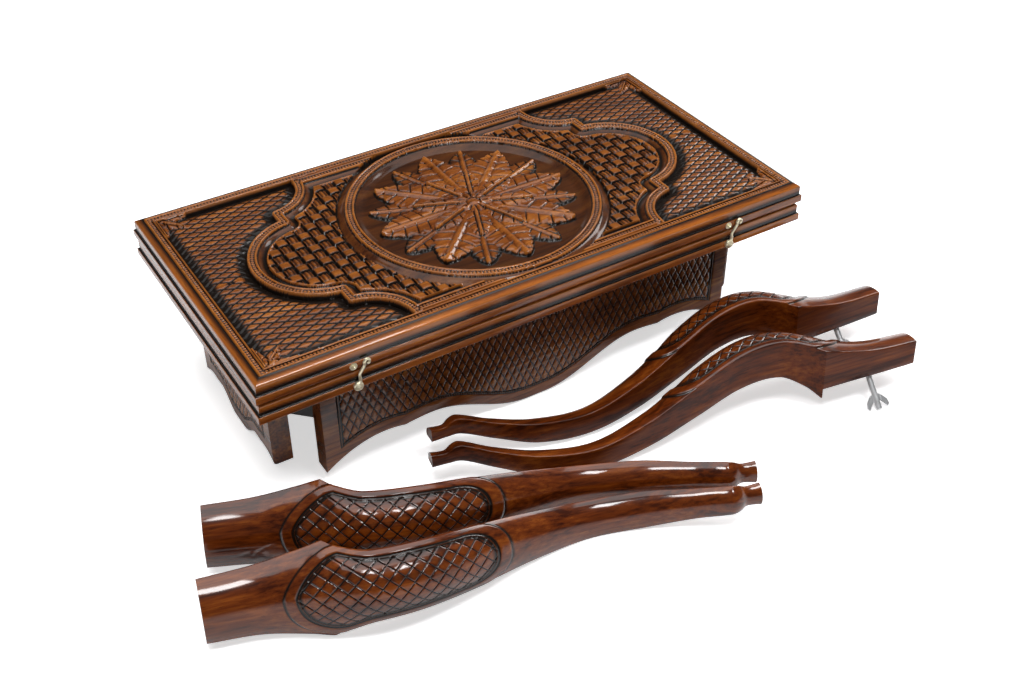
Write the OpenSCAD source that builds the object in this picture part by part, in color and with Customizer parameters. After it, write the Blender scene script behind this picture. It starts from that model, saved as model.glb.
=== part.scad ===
// A carved backgammon board on an apron frame, with its four cabriole legs taken off and laid in front.
// X runs along the length, Y to the back, Z up. The floor is Z = 0.

/* [Case] */
// Length of the closed case over its lips
case_l = 600; // [500:5:700]
// Depth of the closed case over its lips
case_d = 300; // [290:5:360]
// Height of each half of the case
rail_h = 22; // [21:0.5:30]
// Width of a frame rail
rail_w = 18; // [16:0.5:24]
// Height of the plain lip at the foot of a rail
lip_h = 8; // [7:0.5:10]
// Set-back from the lip to the moulding
step_in = 2; // [1:0.5:4]
// Height of that set-back
step_h = 3; // [1:0.5:4]
// Set-back from the lip to the top of the moulding
mould_in = 9; // [7:0.5:11]
// Height of the riser above the step, where the rounded edge starts
riser_top = 16; // [13:0.5:17]
// Radius of the rounded edge on the riser
bead_r = 2; // [1:0.5:2.5]
// Gap between the two halves when closed
lid_gap = 0.2; // [0.1:0.05:0.5]
// Thickness of the tray's bottom board
bottom_t = 7; // [5:0.5:8]
// Width of the rabbet that holds the bottom board
rabbet = 9; // [6:0.5:10]
// Clearance round each board in its rabbet
board_fit = 0.2; // [0.1:0.05:0.4]

/* [Play surface] */
// Thickness of the play surface
play_t = 1.5; // [1:0.1:2.5]
// Depth of the inlaid points
inlay_t = 0.6; // [0.4:0.1:0.8]
// Length of a point
point_l = 215; // [150:5:230]
// Bare strip at the base of the points
point_margin = 4; // [0:1:10]
// Gap between the bases of neighbouring points
point_gap = 1; // [0.5:0.5:4]
// Points at each end of a half
point_count = 6; // [4:2:6]

/* [Carved panel] */
// Thickness of the carved panel over its borders
panel_t = 12; // [9:0.5:13]
// Thickness left under the carved fields
ground_t = 4; // [3:0.5:6]
// Height of the plain steps above the ground
plain_step_h = 2.5; // [2:0.5:5]
// How far the corner leaves stay below the borders
leaf_drop = 2; // [1:0.5:3]
// Width of the outer border
border_w = 9; // [6:0.5:12]
// Width of a rope band
band_w = 9.5; // [6:0.5:12]
// Gap between the border and the cartouche's straight band
band_gap = 1; // [0.5:0.5:4]
// Width of the plain step beside a rope band
plain_step_w = 9; // [5:0.5:12]
// Radius of the medallion at the middle of its rope band
medallion_r = 123; // [100:1:125]
// Radius of the cartouche's round end
lobe_r = 64.5; // [50:0.5:70]
// Middle of that round end, from the middle of the panel
lobe_x = 167; // [150:1:170]
// Place of the notch beside the round end
notch_x = 175.5; // [165:0.5:180]
// Radius of the cartouche's hollow corners
hollow_r = 47; // [40:1:50]
// Middle of a hollow corner, along the length
hollow_x = 181; // [178:1:190]
// Middle of a hollow corner, outward from the middle of the straight band
hollow_out = 3; // [0:0.5:4]
// Length of a long petal of the rosette
petal_l = 80; // [60:1:86]
// Width of a long petal of the rosette
petal_w = 40; // [24:1:44]
// Height of the rosette's petals
petal_h = 4; // [3:0.5:5]
// Radius of the rosette's boss
boss_r = 17; // [10:1:22]
// Height of the rosette's boss
boss_h = 6; // [4:0.5:7]
// Number of long petals
petal_count = 8; // [6:1:10]
// Length of a corner leaf
leaf_l = 30; // [20:1:34]
// Width of a corner leaf
leaf_w = 11; // [8:1:14]
// Height of a cushioned end field
cushion_h = 4.8; // [4:0.2:6]
// Width of each of the two steps that rise to a cushioned field
cushion_step = 4.5; // [3:0.5:6]
// Distance between the strips of the basket weave
weave_pitch = 12; // [10:1:16]
// Height of the weave's ground
weave_h = 2; // [1:0.5:3]
// Height of the weave's strips where they cross over
strip_h = 5.2; // [4:0.2:6]

/* [Apron frame] */
// Height of the apron frame
apron_h = 124; // [110:1:150]
// Thickness of an apron board
apron_t = 20; // [16:1:24]
// Set-back of the aprons from the lip
apron_inset = 29; // [24:1:34]
// How far a leg's post stands out past the aprons
post_proud = 2; // [0:0.5:5]
// Height of an apron's end above the floor
foot_h = 9; // [5:1:14]
// Rise of the serpentine edge, front and back
front_rise = 32; // [20:1:40]
// Rise of the serpentine edge, left and right
side_rise = 16; // [14:1:24]
// Half width of the flat that an apron stands on
belly_flat = 10; // [6:1:14]
// Depth of the carved field
field_depth = 1; // [0.5:0.5:4]
// Width of the plain margin at the ends of the field
stile = 15; // [10:1:20]
// Width of the plain margin along the serpentine edge
field_rim = 14; // [10:1:18]
// Width of the plain margin at the top
field_top = 6; // [4:1:12]
// Side of the square cleats behind the aprons
cleat = 14; // [10:1:16]
// Length by which a cleat stops short of its apron's ends
cleat_end = 28; // [20:1:40]

/* [Corner brackets] */
// Thickness of the bracket's strip
bracket_t = 2; // [1.5:0.5:3]
// Height of a bracket
bracket_h = 40; // [36:1:50]
// Length of a bracket's flange
flange_l = 18; // [14:1:22]
// Distance of the bend from the apron's end
bend_at = 12; // [8:1:13]
// Radial clearance of the bolt in the bracket
bolt_clear = 0.5; // [0.3:0.1:1]

/* [Legs] */
// Length of a leg
leg_l = 496; // [420:2:560]
// Side of the square post at the top of a leg
post = 40; // [36:1:44]
// Length of the post
post_l = 103; // [95:1:112]
// Chamfer on the post's inner corner
post_chamfer = 13; // [11:0.5:15]
// Reach of the knee past the post
knee_out = 25; // [16:1:28]
// Hollow of the leg behind its knee
knee_in = 21.8; // [14:0.2:24]
// Thickness of the ankle
ankle_t = 25.5; // [20:0.5:30]
// Set-back of the ankle behind the post's inner faces
ankle_in = 3.2; // [0:0.2:8]
// Reach of the foot in front of the ankle
foot_out = 24; // [16:1:28]
// Thickness of the foot
foot_t = 20; // [16:0.5:24]
// Share of the section that rounds the outer corner
corner_share = 0.4; // [0.25:0.05:0.45]
// Radius of the hanger bolt
bolt_r = 3; // [2.5:0.25:3.5]
// Length of the bolt in the leg
bolt_in = 34; // [20:1:36]
// Length of the bolt outside the leg
bolt_out = 34; // [31:1:40]
// Distance of the bolt from the top of the post
bolt_drop = 47; // [42:1:52]
// Radial clearance of the wing nut on its bolt
nut_fit = 0.05; // [0.03:0.01:0.1]
// Radius of the wing nut's hub
hub_r = 5; // [4.5:0.25:6]
// Height of the wing nut's hub
hub_h = 7; // [5:0.5:9]
// Distance of a wing nut's seat from the bolt's free end
nut_back = 15; // [14:1:20]
// The same on the back right leg, whose wing nut is turned further on
nut_back_far = 22; // [18:1:26]
// Reach of a wing from the bolt's middle
wing_reach = 12; // [9:0.5:13]
// Thickness of a wing
wing_t = 2; // [1.5:0.25:3]
// Height of a wing past its hub
wing_rise = 7; // [5:0.5:8]
// Width of a wing's end
wing_end = 4; // [3:0.5:5]

/* [Legs on the floor] */
// Place of the front left leg's top along the case
front_left_x = -394.5; // [-420:0.5:-360]
// Distance of the front left leg's top in front of the case
front_left_out = 59.5; // [50:0.5:90]
// Place of the front right leg's bolt along the case
front_right_x = 280; // [265:0.5:300]
// Distance of the front right leg's bolt in front of the case
front_right_out = 153; // [146:0.5:175]
// Place of the back right leg's bolt along the case
back_right_x = 306.5; // [290:0.5:320]
// Distance of the back right leg's bolt in front of the case
back_right_out = 78.5; // [76:0.5:95]
// How far the back left leg passes to the left of the front right one
pass_left = 12; // [8:0.5:16]
// How far the back left leg passes in front of the front right one
pass_front = 10.5; // [9.5:0.5:20]

/* [Hinges] */
// Distance of a hinge's middle from the end of the case
hinge_in = 110; // [80:5:140]
// Length of a hinge
hinge_l = 50; // [40:1:60]
// Distance of the hinge pin behind the lip
hinge_out = 1.6; // [1.2:0.1:2]
// Outer radius of a knuckle
knuckle_r = 2.6; // [2.2:0.1:3]
// Radius of the hinge pin
pin_r = 1.2; // [1:0.1:1.4]
// Radial clearance of the hinge pin
pin_fit = 0.05; // [0.03:0.01:0.1]
// Thickness of a hinge leaf
leaf_t = 1.2; // [1:0.1:1.5]
// Reach of a leaf from the pin
leaf_reach = 16.5; // [15:0.5:17]
// Gap between neighbouring knuckles, and round them
knuckle_gap = 0.4; // [0.3:0.1:0.6]

/* [Latches] */
// Distance of a latch from the end of the case
latch_in = 93; // [60:1:140]
// Radius of the round back plate
plate_r = 4.6; // [4:0.1:5]
// Thickness of the latch's sheet parts
sheet_t = 0.9; // [0.7:0.1:1.2]
// Thickness of the hook
hook_t = 1.2; // [1:0.1:1.6]
// Radius of the hook's eye
eye_r = 3.2; // [2.6:0.1:3.6]
// Width of the hook's arm
arm_w = 2.4; // [2:0.1:3]
// Radius of the pivot rivet
pivot_r = 1.2; // [1:0.1:1.4]
// Radial clearance of the hook on its rivet
pivot_fit = 0.05; // [0.03:0.01:0.1]
// Gap on each side of the hook along its rivet
hook_gap = 0.15; // [0.1:0.05:0.3]
// Radius of the keeper's post
keeper_r = 1.1; // [0.9:0.1:1.3]
// Radius of the keeper's plate
keeper_plate_r = 3.6; // [3:0.1:4]
// Length of the keeper's spike in the lid
spike_l = 5; // [4:0.5:7]
// Clearance of the hook's finger above the keeper's post
finger_gap = 0.4; // [0.3:0.1:0.6]
// Height of the hook's finger
finger_h = 1.8; // [1.4:0.1:2.4]
// Length of the hook's thumb piece
thumb_l = 7; // [5:0.5:9]
// Length of the pivot rivet in the tray
rivet_in = 6; // [4:0.5:7]
// Head radius of the pivot rivet
rivet_head_r = 2.1; // [1.8:0.1:2.6]
// Head height of the pivot rivet
rivet_head_h = 0.8; // [0.6:0.1:1.2]
// Angle by which the hook stands off the keeper
hook_rest = 12; // [11:1:16]

/* [Fasteners] */
// Shank radius of a bracket or cleat screw
screw_r = 1.75; // [1.5:0.25:2]
// Head radius of a bracket or cleat screw
screw_head_r = 3.2; // [2.8:0.1:3.5]
// Head height of a bracket or cleat screw
screw_head_h = 1.8; // [1.4:0.1:2.2]
// Length of a screw in the wood
screw_in = 11; // [8:1:14]
// Shank radius of a hinge screw
hinge_screw_r = 1; // [0.8:0.1:1.2]
// Head radius of a hinge screw
hinge_head_r = 1.9; // [1.6:0.1:2.2]
// Clearance round every fixed shank
shank_fit = 0.05; // [0.02:0.01:0.1]

/* [Game pieces] */
// Diameter of a checker
checker_d = 37; // [30:1:38]
// Thickness of a checker
checker_t = 9; // [7:0.5:11]
// Gap between checkers
checker_gap = 1; // [0.6:0.2:2]
// Width of a checker's raised rim
rim_w = 4; // [3:0.5:6]
// Depth of a checker's dish
dish = 1; // [0.5:0.25:2]
// Side of a die
die = 13; // [10:1:14]

/* [Hidden] */
$fn = 48;

// Colours of the finishes
walnut = [0.36, 0.19, 0.07];
dark_walnut = [0.22, 0.12, 0.06];
light_wood = [0.80, 0.62, 0.40];
brass = [0.78, 0.72, 0.52];
zinc = [0.72, 0.73, 0.74];
black_iron = [0.07, 0.07, 0.07];

// Overlap that keeps a cut from ending on a face
cut = 1;

// Levels
tray_z = apron_h;
part_z = tray_z + rail_h;
lid_z = part_z + lid_gap;
panel_z = lid_z + rail_h - panel_t;
play_z = tray_z + bottom_t;

// Sides of the case: 0 front, 1 right, 2 back, 3 left
front = 0;
right = 1;
back = 2;
left = 3;
function side_length(side) = side % 2 == 0 ? case_l : case_d;
function side_reach(side) = side_length(side + 1) / 2;

module on_side(side, inset = 0, z = 0) {
    rotate([0, 0, 90 * side]) translate([0, inset - side_reach(side), z]) children();
}

// Sizes of the inside of the case
inner_l = case_l - 2 * rail_w;
inner_d = case_d - 2 * rail_w;

// Section of a rail as [set-back, height]: a lip, a small step, a riser with a rounded edge and a slope
bead_steps = 4;
slope_run = mould_in - step_in - bead_r;
slope_angle = atan2(rail_h - riser_top - bead_r, slope_run);
moulding = concat([[step_in, lip_h + step_h]],
    [for (k = [0:bead_steps]) let (t = (90 - slope_angle) * k / bead_steps)
        [step_in + bead_r * (1 - cos(t)), riser_top + bead_r * sin(t)]],
    [[mould_in, rail_h]]);
outer_section = concat([[0, 0], [0, lip_h], [step_in, lip_h]], moulding);
lid_section = concat(outer_section, [[mould_in, rail_h - panel_t], [rail_w, rail_h - panel_t], [rail_w, 0]]);
tray_section = concat(outer_section,
    [[rail_w, rail_h], [rail_w, bottom_t], [rail_w - rabbet, bottom_t], [rail_w - rabbet, 0]]);

module mitred_rail(section, length) {
    intersection() {
        rotate([90, 0, 90]) linear_extrude(length, center = true) polygon(section);
        translate([0, 0, -cut]) linear_extrude(rail_h + 2 * cut) polygon([
            [-length / 2 - cut, -cut], [length / 2 + cut, -cut],
            [length / 2 - rail_w - cut, rail_w + cut], [rail_w + cut - length / 2, rail_w + cut]]);
    }
}

module lid_rail(side) {
    color(walnut) on_side(side, 0, lid_z) mitred_rail(lid_section, side_length(side));
}

module tray_rail(side) {
    color(walnut) on_side(side, 0, tray_z) mitred_rail(tray_section, side_length(side));
}

// Hinges
hinge_x = case_l / 2 - hinge_in;
hinge_y = case_d / 2 + hinge_out;
hinge_z = part_z + lid_gap / 2;
knuckle_cut = knuckle_r + knuckle_gap;
middle_knuckle = hinge_l / 3;
side_knuckle = (hinge_l - middle_knuckle) / 2 - 2 * knuckle_gap;
knuckle_wall = (pin_r + pin_fit + knuckle_r) / 2;
hinge_screw_y = hinge_y - leaf_reach + 2 * hinge_head_r;
hinge_screw_x = hinge_l / 2 - 2.5 * hinge_head_r;
hinge_screw_l = rail_h - panel_t - leaf_t;
hinge_head_h = leaf_t / 2;

module along_x(length, r) {
    rotate([0, 90, 0]) cylinder(h = length, r = r, center = true);
}

// One leaf below the line between the halves, its knuckles in the given stretches along X
module leaf_down(x, stretches) {
    translate([x, 0, 0]) difference() {
        union() {
            translate([-hinge_l / 2, hinge_y - leaf_reach, part_z - leaf_t])
                cube([hinge_l, leaf_reach - knuckle_cut, leaf_t]);
            for (s = stretches) {
                translate([s[0] - s[1] / 2, hinge_y - knuckle_cut - cut, part_z - leaf_t])
                    cube([s[1], knuckle_cut + cut - knuckle_wall, leaf_t]);
                translate([s[0], hinge_y, hinge_z]) along_x(s[1], knuckle_r);
            }
        }
        translate([0, hinge_y, hinge_z]) along_x(hinge_l + 2 * cut, pin_r + pin_fit);
        for (e = [-1, 1]) translate([e * hinge_screw_x, hinge_screw_y, part_z - leaf_t - cut]) {
            cylinder(h = leaf_t + 2 * cut, r = hinge_screw_r + shank_fit);
            translate([0, 0, leaf_t + cut - hinge_head_h])
                cylinder(h = hinge_head_h + cut, r = hinge_head_r + shank_fit);
        }
    }
}

// The same, turned over about the level of the hinge pin
module turned_up() {
    translate([0, 0, 2 * hinge_z]) mirror([0, 0, 1]) children();
}

module hinge_leaf_tray(x) {
    reach = (middle_knuckle + side_knuckle) / 2 + knuckle_gap;
    color(brass) leaf_down(x, [[-reach, side_knuckle], [reach, side_knuckle]]);
}

module hinge_leaf_lid(x) {
    color(brass) turned_up() leaf_down(x, [[0, middle_knuckle]]);
}

module hinge_pin(x) {
    color(zinc) translate([x, hinge_y, hinge_z]) along_x(hinge_l, pin_r);
}

module hinge_screws() {
    for (h = [-1, 1], e = [-1, 1]) translate([h * hinge_x + e * hinge_screw_x, hinge_screw_y, part_z]) {
        translate([0, 0, -hinge_head_h]) cylinder(h = hinge_head_h, r = hinge_head_r);
        translate([0, 0, -leaf_t - hinge_screw_l]) cylinder(h = leaf_t + hinge_screw_l, r = hinge_screw_r);
    }
}

// Room for the leaves and screws in the rail below the line between the halves
module hinge_seats() {
    for (h = [-1, 1]) translate([h * hinge_x, 0, 0]) {
        translate([-hinge_l / 2, hinge_y - leaf_reach, part_z - leaf_t])
            cube([hinge_l, leaf_reach, leaf_t + cut]);
        translate([0, hinge_y, hinge_z]) along_x(hinge_l + 2 * knuckle_gap, knuckle_cut);
        for (e = [-1, 1]) translate([e * hinge_screw_x, hinge_screw_y, part_z - leaf_t - hinge_screw_l])
            cylinder(h = leaf_t + hinge_screw_l, r = hinge_screw_r + shank_fit);
    }
}

// Latches: a hook that turns on the tray's lip and a keeper on the lid's lip
latch_x = case_l / 2 - latch_in;
pivot_z = tray_z + lip_h / 2;
keeper_z = lid_z + lip_h / 2;
keeper_rise = keeper_z - pivot_z;
keeper_off = arm_w / 2 + keeper_r + finger_gap;
spike_r = 0.8 * keeper_r;
ball_r = 1.2 * keeper_r;
finger_l = keeper_off + keeper_r + finger_gap;
thumb_turn = 50;
hook_back = sheet_t + hook_gap;
rivet_out = hook_back + hook_t + hook_gap;

// Puts a shape drawn on the XY plane onto the front lip, facing forward
module on_lip(x, z, out = 0) {
    translate([x, -case_d / 2 - out, z]) rotate([90, 0, 0]) children();
}

module hook_plate(x) {
    color(brass) on_lip(x, pivot_z) difference() {
        cylinder(h = sheet_t, r = plate_r);
        translate([0, 0, -cut]) cylinder(h = sheet_t + 2 * cut, r = pivot_r + shank_fit);
    }
}

module hook_pivots() {
    color(brass) for (x = [-latch_x, latch_x]) on_lip(x, pivot_z) {
        translate([0, 0, -rivet_in]) cylinder(h = rivet_in + rivet_out + rivet_head_h, r = pivot_r);
        translate([0, 0, rivet_out]) cylinder(h = rivet_head_h, r = rivet_head_r);
    }
}

module hook(x) {
    finger_z = keeper_rise + keeper_r + finger_gap;
    color(brass) on_lip(x, pivot_z, hook_back) rotate([0, 0, -hook_rest]) difference() {
        union() {
            cylinder(h = hook_t, r = eye_r);
            translate([-arm_w / 2, 0, 0]) cube([arm_w, finger_z + finger_h, hook_t]);
            translate([-finger_l, finger_z, 0]) cube([finger_l, finger_h, hook_t]);
            translate([0, finger_z, 0]) rotate([0, 0, -thumb_turn]) translate([-finger_h / 2, 0, 0])
                cube([finger_h, thumb_l, hook_t]);
        }
        translate([0, 0, -cut]) cylinder(h = hook_t + 2 * cut, r = pivot_r + pivot_fit);
    }
}

module keeper(x) {
    color(brass) on_lip(x - keeper_off, keeper_z) {
        cylinder(h = sheet_t, r = keeper_plate_r);
        translate([0, 0, -spike_l]) cylinder(h = spike_l + rivet_out, r = spike_r);
        cylinder(h = rivet_out, r = keeper_r);
        translate([0, 0, rivet_out]) sphere(r = ball_r);
    }
}

module lid_rail_front() {
    difference() {
        lid_rail(front);
        for (x = [-latch_x, latch_x]) on_lip(x - keeper_off, keeper_z, -spike_l)
            cylinder(h = spike_l + cut, r = spike_r + shank_fit);
    }
}

module tray_rail_front() {
    difference() {
        tray_rail(front);
        for (x = [-latch_x, latch_x]) on_lip(x, pivot_z, -rivet_in)
            cylinder(h = rivet_in + cut, r = pivot_r + shank_fit);
    }
}

module lid_rail_back() {
    difference() {
        lid_rail(back);
        turned_up() hinge_seats();
    }
}

module tray_rail_back() {
    difference() {
        tray_rail(back);
        hinge_seats();
    }
}

// Boards and inlaid points
module board(inset, z, t) {
    size_x = case_l - 2 * (inset + board_fit);
    size_y = case_d - 2 * (inset + board_fit);
    translate([-size_x / 2, -size_y / 2, z]) cube([size_x, size_y, t]);
}

// The points of one shade: 0 light, 1 dark, alternating along each end
module points(shade, z, t) {
    pitch = (inner_d - 2 * board_fit) / point_count;
    base_w = pitch - point_gap;
    base_x = inner_l / 2 - board_fit - point_margin;
    for (e = [0, 1], k = [0:point_count - 1]) if ((e + k) % 2 == shade)
        translate([0, (k - (point_count - 1) / 2) * pitch, z]) mirror([e, 0, 0]) linear_extrude(t)
            polygon([[base_x, -base_w / 2], [base_x, base_w / 2], [base_x - point_l, 0]]);
}

module play_surface(z, inlay_z) {
    color(dark_walnut) difference() {
        board(rail_w, z, play_t);
        for (shade = [0, 1]) points(shade, inlay_z, inlay_t);
    }
}

module tray_bottom() {
    color(dark_walnut) difference() {
        board(rail_w - rabbet, tray_z, bottom_t);
        cleat_holes(tray_z - cut, cut + cleat_screw_up, screw_r + shank_fit);
    }
}

module tray_play_surface() {
    play_surface(play_z, play_z + play_t - inlay_t);
}

module lid_play_surface() {
    play_surface(panel_z - play_t, panel_z - play_t);
}

module tray_points(shade, tone) {
    color(tone) points(shade, play_z + play_t - inlay_t, inlay_t);
}

module lid_points(shade, tone) {
    color(tone) points(shade, panel_z - play_t, inlay_t);
}

// Carved panel: borders, cartouche, medallion and leaves as raised solids on a thin ground
panel_l = case_l - 2 * (mould_in + board_fit);
panel_d = case_d - 2 * (mould_in + board_fit);
relief = panel_t - ground_t;
straight_y = panel_d / 2 - border_w - band_gap - band_w / 2;
hollow_y = straight_y + hollow_out;

module panel_block(h) {
    translate([-panel_l / 2, -panel_d / 2, 0]) cube([panel_l, panel_d, h]);
}

module ring(r, w, h) {
    difference() {
        cylinder(h = h, r = r + w / 2, $fn = 96);
        translate([0, 0, -cut]) cylinder(h = h + 2 * cut, r = r - w / 2, $fn = 96);
    }
}

// A band that follows the cartouche, moved inward by shift
module cartouche(shift, w, h) {
    bar_start = lobe_r - shift - w / 2;
    bar_end = hollow_y - hollow_r - shift + w / 2;
    for (sx = [0, 1]) mirror([sx, 0, 0]) {
        intersection() {
            translate([lobe_x, 0, 0]) ring(lobe_r - shift, w, h);
            translate([notch_x - shift - w / 2, -case_d / 2, 0]) cube([case_l, case_d, h]);
        }
        for (sy = [0, 1]) mirror([0, sy, 0]) {
            intersection() {
                translate([hollow_x, hollow_y, 0]) ring(hollow_r + shift, w, h);
                cube([notch_x - shift + w / 2, hollow_y, h]);
            }
            translate([notch_x - shift - w / 2, bar_start, 0]) cube([w, bar_end - bar_start, h]);
            translate([0, straight_y - shift - w / 2, 0]) cube([hollow_x - hollow_r - shift, w, h]);
        }
    }
}

// A pointed leaf from the origin along +X, the overlap of two discs
module leaf(length, width, h) {
    r = (length * length + width * width) / (4 * width);
    intersection_for (s = [-1, 1]) translate([length / 2, s * (r - width / 2), 0])
        cylinder(h = h, r = r, $fn = 96);
}

module rosette() {
    start = 0.9 * boss_r;
    for (k = [0:petal_count - 1]) rotate([0, 0, 360 * k / petal_count]) {
        translate([start, 0, 0]) leaf(petal_l, petal_w, petal_h);
        rotate([0, 0, 180 / petal_count]) translate([start + petal_l / 2, 0, 0])
            leaf(petal_l / 2, petal_w / 2, petal_h);
    }
    cylinder(h = boss_h, r = boss_r);
}

// One level of a cushioned end field, kept away from the bands round it
module end_field(away, h) {
    from_band = band_w / 2 + away;
    outer_x = panel_l / 2 - border_w - away;
    outer_y = panel_d / 2 - border_w - away;
    inner_x = notch_x + from_band;
    difference() {
        translate([inner_x, -outer_y, 0]) cube([outer_x - inner_x, 2 * outer_y, h]);
        translate([lobe_x, 0, -cut]) cylinder(h = h + 2 * cut, r = lobe_r + from_band, $fn = 96);
    }
    for (sy = [0, 1]) mirror([0, sy, 0]) intersection() {
        translate([hollow_x, hollow_y, 0]) cylinder(h = h, r = hollow_r - from_band, $fn = 96);
        cube([inner_x + cut, outer_y, h]);
    }
}

// Basket weave between the cartouche and the medallion: a ground with the strips that cross over it
weave_in = band_w / 2 + plain_step_w;
function in_weave(x, y, away) = norm([x, y]) > medallion_r + away
    && (norm([x - lobe_x, y]) < lobe_r - away
        || x < notch_x - away && abs(y) < straight_y - away
            && norm([x - hollow_x, abs(y) - hollow_y]) > hollow_r + away);

module weave() {
    away = weave_in - cut;
    difference() {
        union() {
            translate([0, away - straight_y, 0]) cube([notch_x - away, 2 * (straight_y - away), weave_h]);
            translate([lobe_x, 0, 0]) cylinder(h = weave_h, r = lobe_r - away, $fn = 96);
        }
        for (y = [-hollow_y, hollow_y]) translate([hollow_x, y, -cut])
            cylinder(h = weave_h + 2 * cut, r = hollow_r + away, $fn = 96);
        translate([0, 0, -cut]) cylinder(h = weave_h + 2 * cut, r = medallion_r + away, $fn = 96);
    }
    most = ceil(panel_l / 2 / weave_pitch);
    for (k = [0:most], j = [-most:most])
        if (abs(k + j) % 2 == 1 && in_weave(k * weave_pitch, j * weave_pitch, weave_in + weave_pitch / 2))
            translate([(k - 0.45) * weave_pitch, (j - 0.42) * weave_pitch, 0])
                cube([0.9 * weave_pitch, 0.84 * weave_pitch, strip_h]);
}

module lid_carved_panel() {
    color(dark_walnut) translate([0, 0, panel_z]) {
        panel_block(ground_t);
        translate([0, 0, ground_t]) {
            difference() {
                panel_block(relief);
                translate([border_w - panel_l / 2, border_w - panel_d / 2, -cut])
                    cube([panel_l - 2 * border_w, panel_d - 2 * border_w, relief + 2 * cut]);
            }
            difference() {
                union() {
                    cartouche(0, band_w, relief);
                    cartouche((band_w + plain_step_w) / 2, plain_step_w, plain_step_h);
                }
                translate([0, 0, -cut]) cylinder(h = panel_t, r = medallion_r, $fn = 96);
            }
            ring(medallion_r, band_w, relief);
            intersection() {
                ring(medallion_r, band_w + 2 * plain_step_w, plain_step_h);
                panel_block(plain_step_h);
            }
            rosette();
            for (sx = [0, 1]) mirror([sx, 0, 0]) {
                weave();
                for (level = [1, 2]) end_field(level * cushion_step, level * cushion_h / 2);
            }
            for (sx = [0, 1], sy = [0, 1]) mirror([sx, 0, 0]) mirror([0, sy, 0])
                translate([panel_l / 2 - border_w, panel_d / 2 - border_w, 0])
                    for (turn = [180, 225, 270])
                        rotate([0, 0, turn]) leaf(leaf_l, leaf_w, relief - leaf_drop);
        }
    }
}

// Aprons: a board with a serpentine lower edge and a sunk field
socket = post - post_proud;
function half_apron(side) = side_length(side) / 2 - apron_inset - socket;
function rise(side) = side % 2 == 0 ? front_rise : side_rise;
crest_share = 0.515;
cusp_share = 0.64;
arch_share = 0.73;

// Height of the edge at s from the middle: a belly, a crest, a small cusp and an arch down to the foot
function outer_arch(s, a, r) = r - (r - foot_h) * ((s - arch_share * a) / (a - arch_share * a)) ^ 2;
function belly(s, a, r) = r * (1 - cos(180 * max(0, s - belly_flat) / (crest_share * a - belly_flat))) / 2;
function crest(s, a, r) = let (cusp = outer_arch(cusp_share * a, a, r))
    cusp + (r - cusp) * cos(90 * (s / a - crest_share) / (cusp_share - crest_share));
function edge_height(s, a, r) = s < crest_share * a ? belly(s, a, r)
    : s < cusp_share * a ? crest(s, a, r) : outer_arch(s, a, r);

apron_steps = 56;
function apron_outline(half, a, r, lift, top) = concat(
    [for (k = [0:apron_steps]) let (x = half * (2 * k / apron_steps - 1))
        [x, lift + edge_height(abs(x), a, r)]],
    [[half, top], [-half, top]]);

// Places of the bracket screws along an apron and up it
bolt_z = apron_h - bolt_drop;
screw_rows = [-bracket_h * 0.3, bracket_h * 0.3];
function screw_place(side) = half_apron(side) - bend_at - flange_l / 2;

module apron(side) {
    a = half_apron(side);
    color(walnut) on_side(side, apron_inset) difference() {
        translate([0, apron_t, 0]) rotate([90, 0, 0]) linear_extrude(apron_t)
            polygon(apron_outline(a, a, rise(side), 0, apron_h));
        translate([0, field_depth, 0]) rotate([90, 0, 0]) linear_extrude(field_depth + cut)
            polygon(apron_outline(a - stile, a, rise(side), field_rim, apron_h - field_top));
        for (e = [-1, 1], dz = screw_rows)
            translate([e * screw_place(side), apron_t - screw_in, bolt_z + dz])
                rotate([-90, 0, 0]) cylinder(h = screw_in + cut, r = screw_r + shank_fit);
    }
}

// Cleats along the tops of the aprons, screwed up into the tray's bottom
cleat_y = apron_inset + apron_t;
cleat_screw_up = 0.7 * bottom_t;
function cleat_half(side) = half_apron(side) - cleat_end;
cleat_screw_share = 0.75;

module cleat_holes(z, length, r) {
    for (side = [0:3]) on_side(side, cleat_y + cleat / 2, z)
        for (e = side % 2 == 0 ? [-1, 0, 1] : [-1, 1])
            translate([e * cleat_screw_share * cleat_half(side), 0, 0]) cylinder(h = length, r = r);
}

module apron_cleats() {
    color(dark_walnut) difference() {
        for (side = [0:3]) on_side(side, cleat_y, apron_h - cleat)
            translate([-cleat_half(side), 0, 0]) cube([2 * cleat_half(side), cleat, cleat]);
        cleat_holes(apron_h - cleat - cut, cleat + 2 * cut, screw_r + shank_fit);
    }
}

module cleat_screws() {
    color(zinc) {
        cleat_holes(apron_h - cleat - screw_head_h, screw_head_h, screw_head_r);
        cleat_holes(apron_h - cleat - screw_head_h, screw_head_h + cleat + cleat_screw_up, screw_r);
    }
}

// Corner brackets: a bent strip across each open corner, bored for the leg's bolt
apron_in_x = case_l / 2 - apron_inset - apron_t;
apron_in_y = case_d / 2 - apron_inset - apron_t;
bend_x = half_apron(front) - bend_at;
bend_y = half_apron(right) - bend_at;
bend_back = bracket_t * (sqrt(2) - 1);

// Corners as mirror flags for X and Y
front_left = [1, 1];
front_right = [0, 1];
back_left = [1, 0];
back_right = [0, 0];

module in_corner(corner) {
    mirror([corner[0], 0, 0]) mirror([0, corner[1], 0]) children();
}

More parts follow.
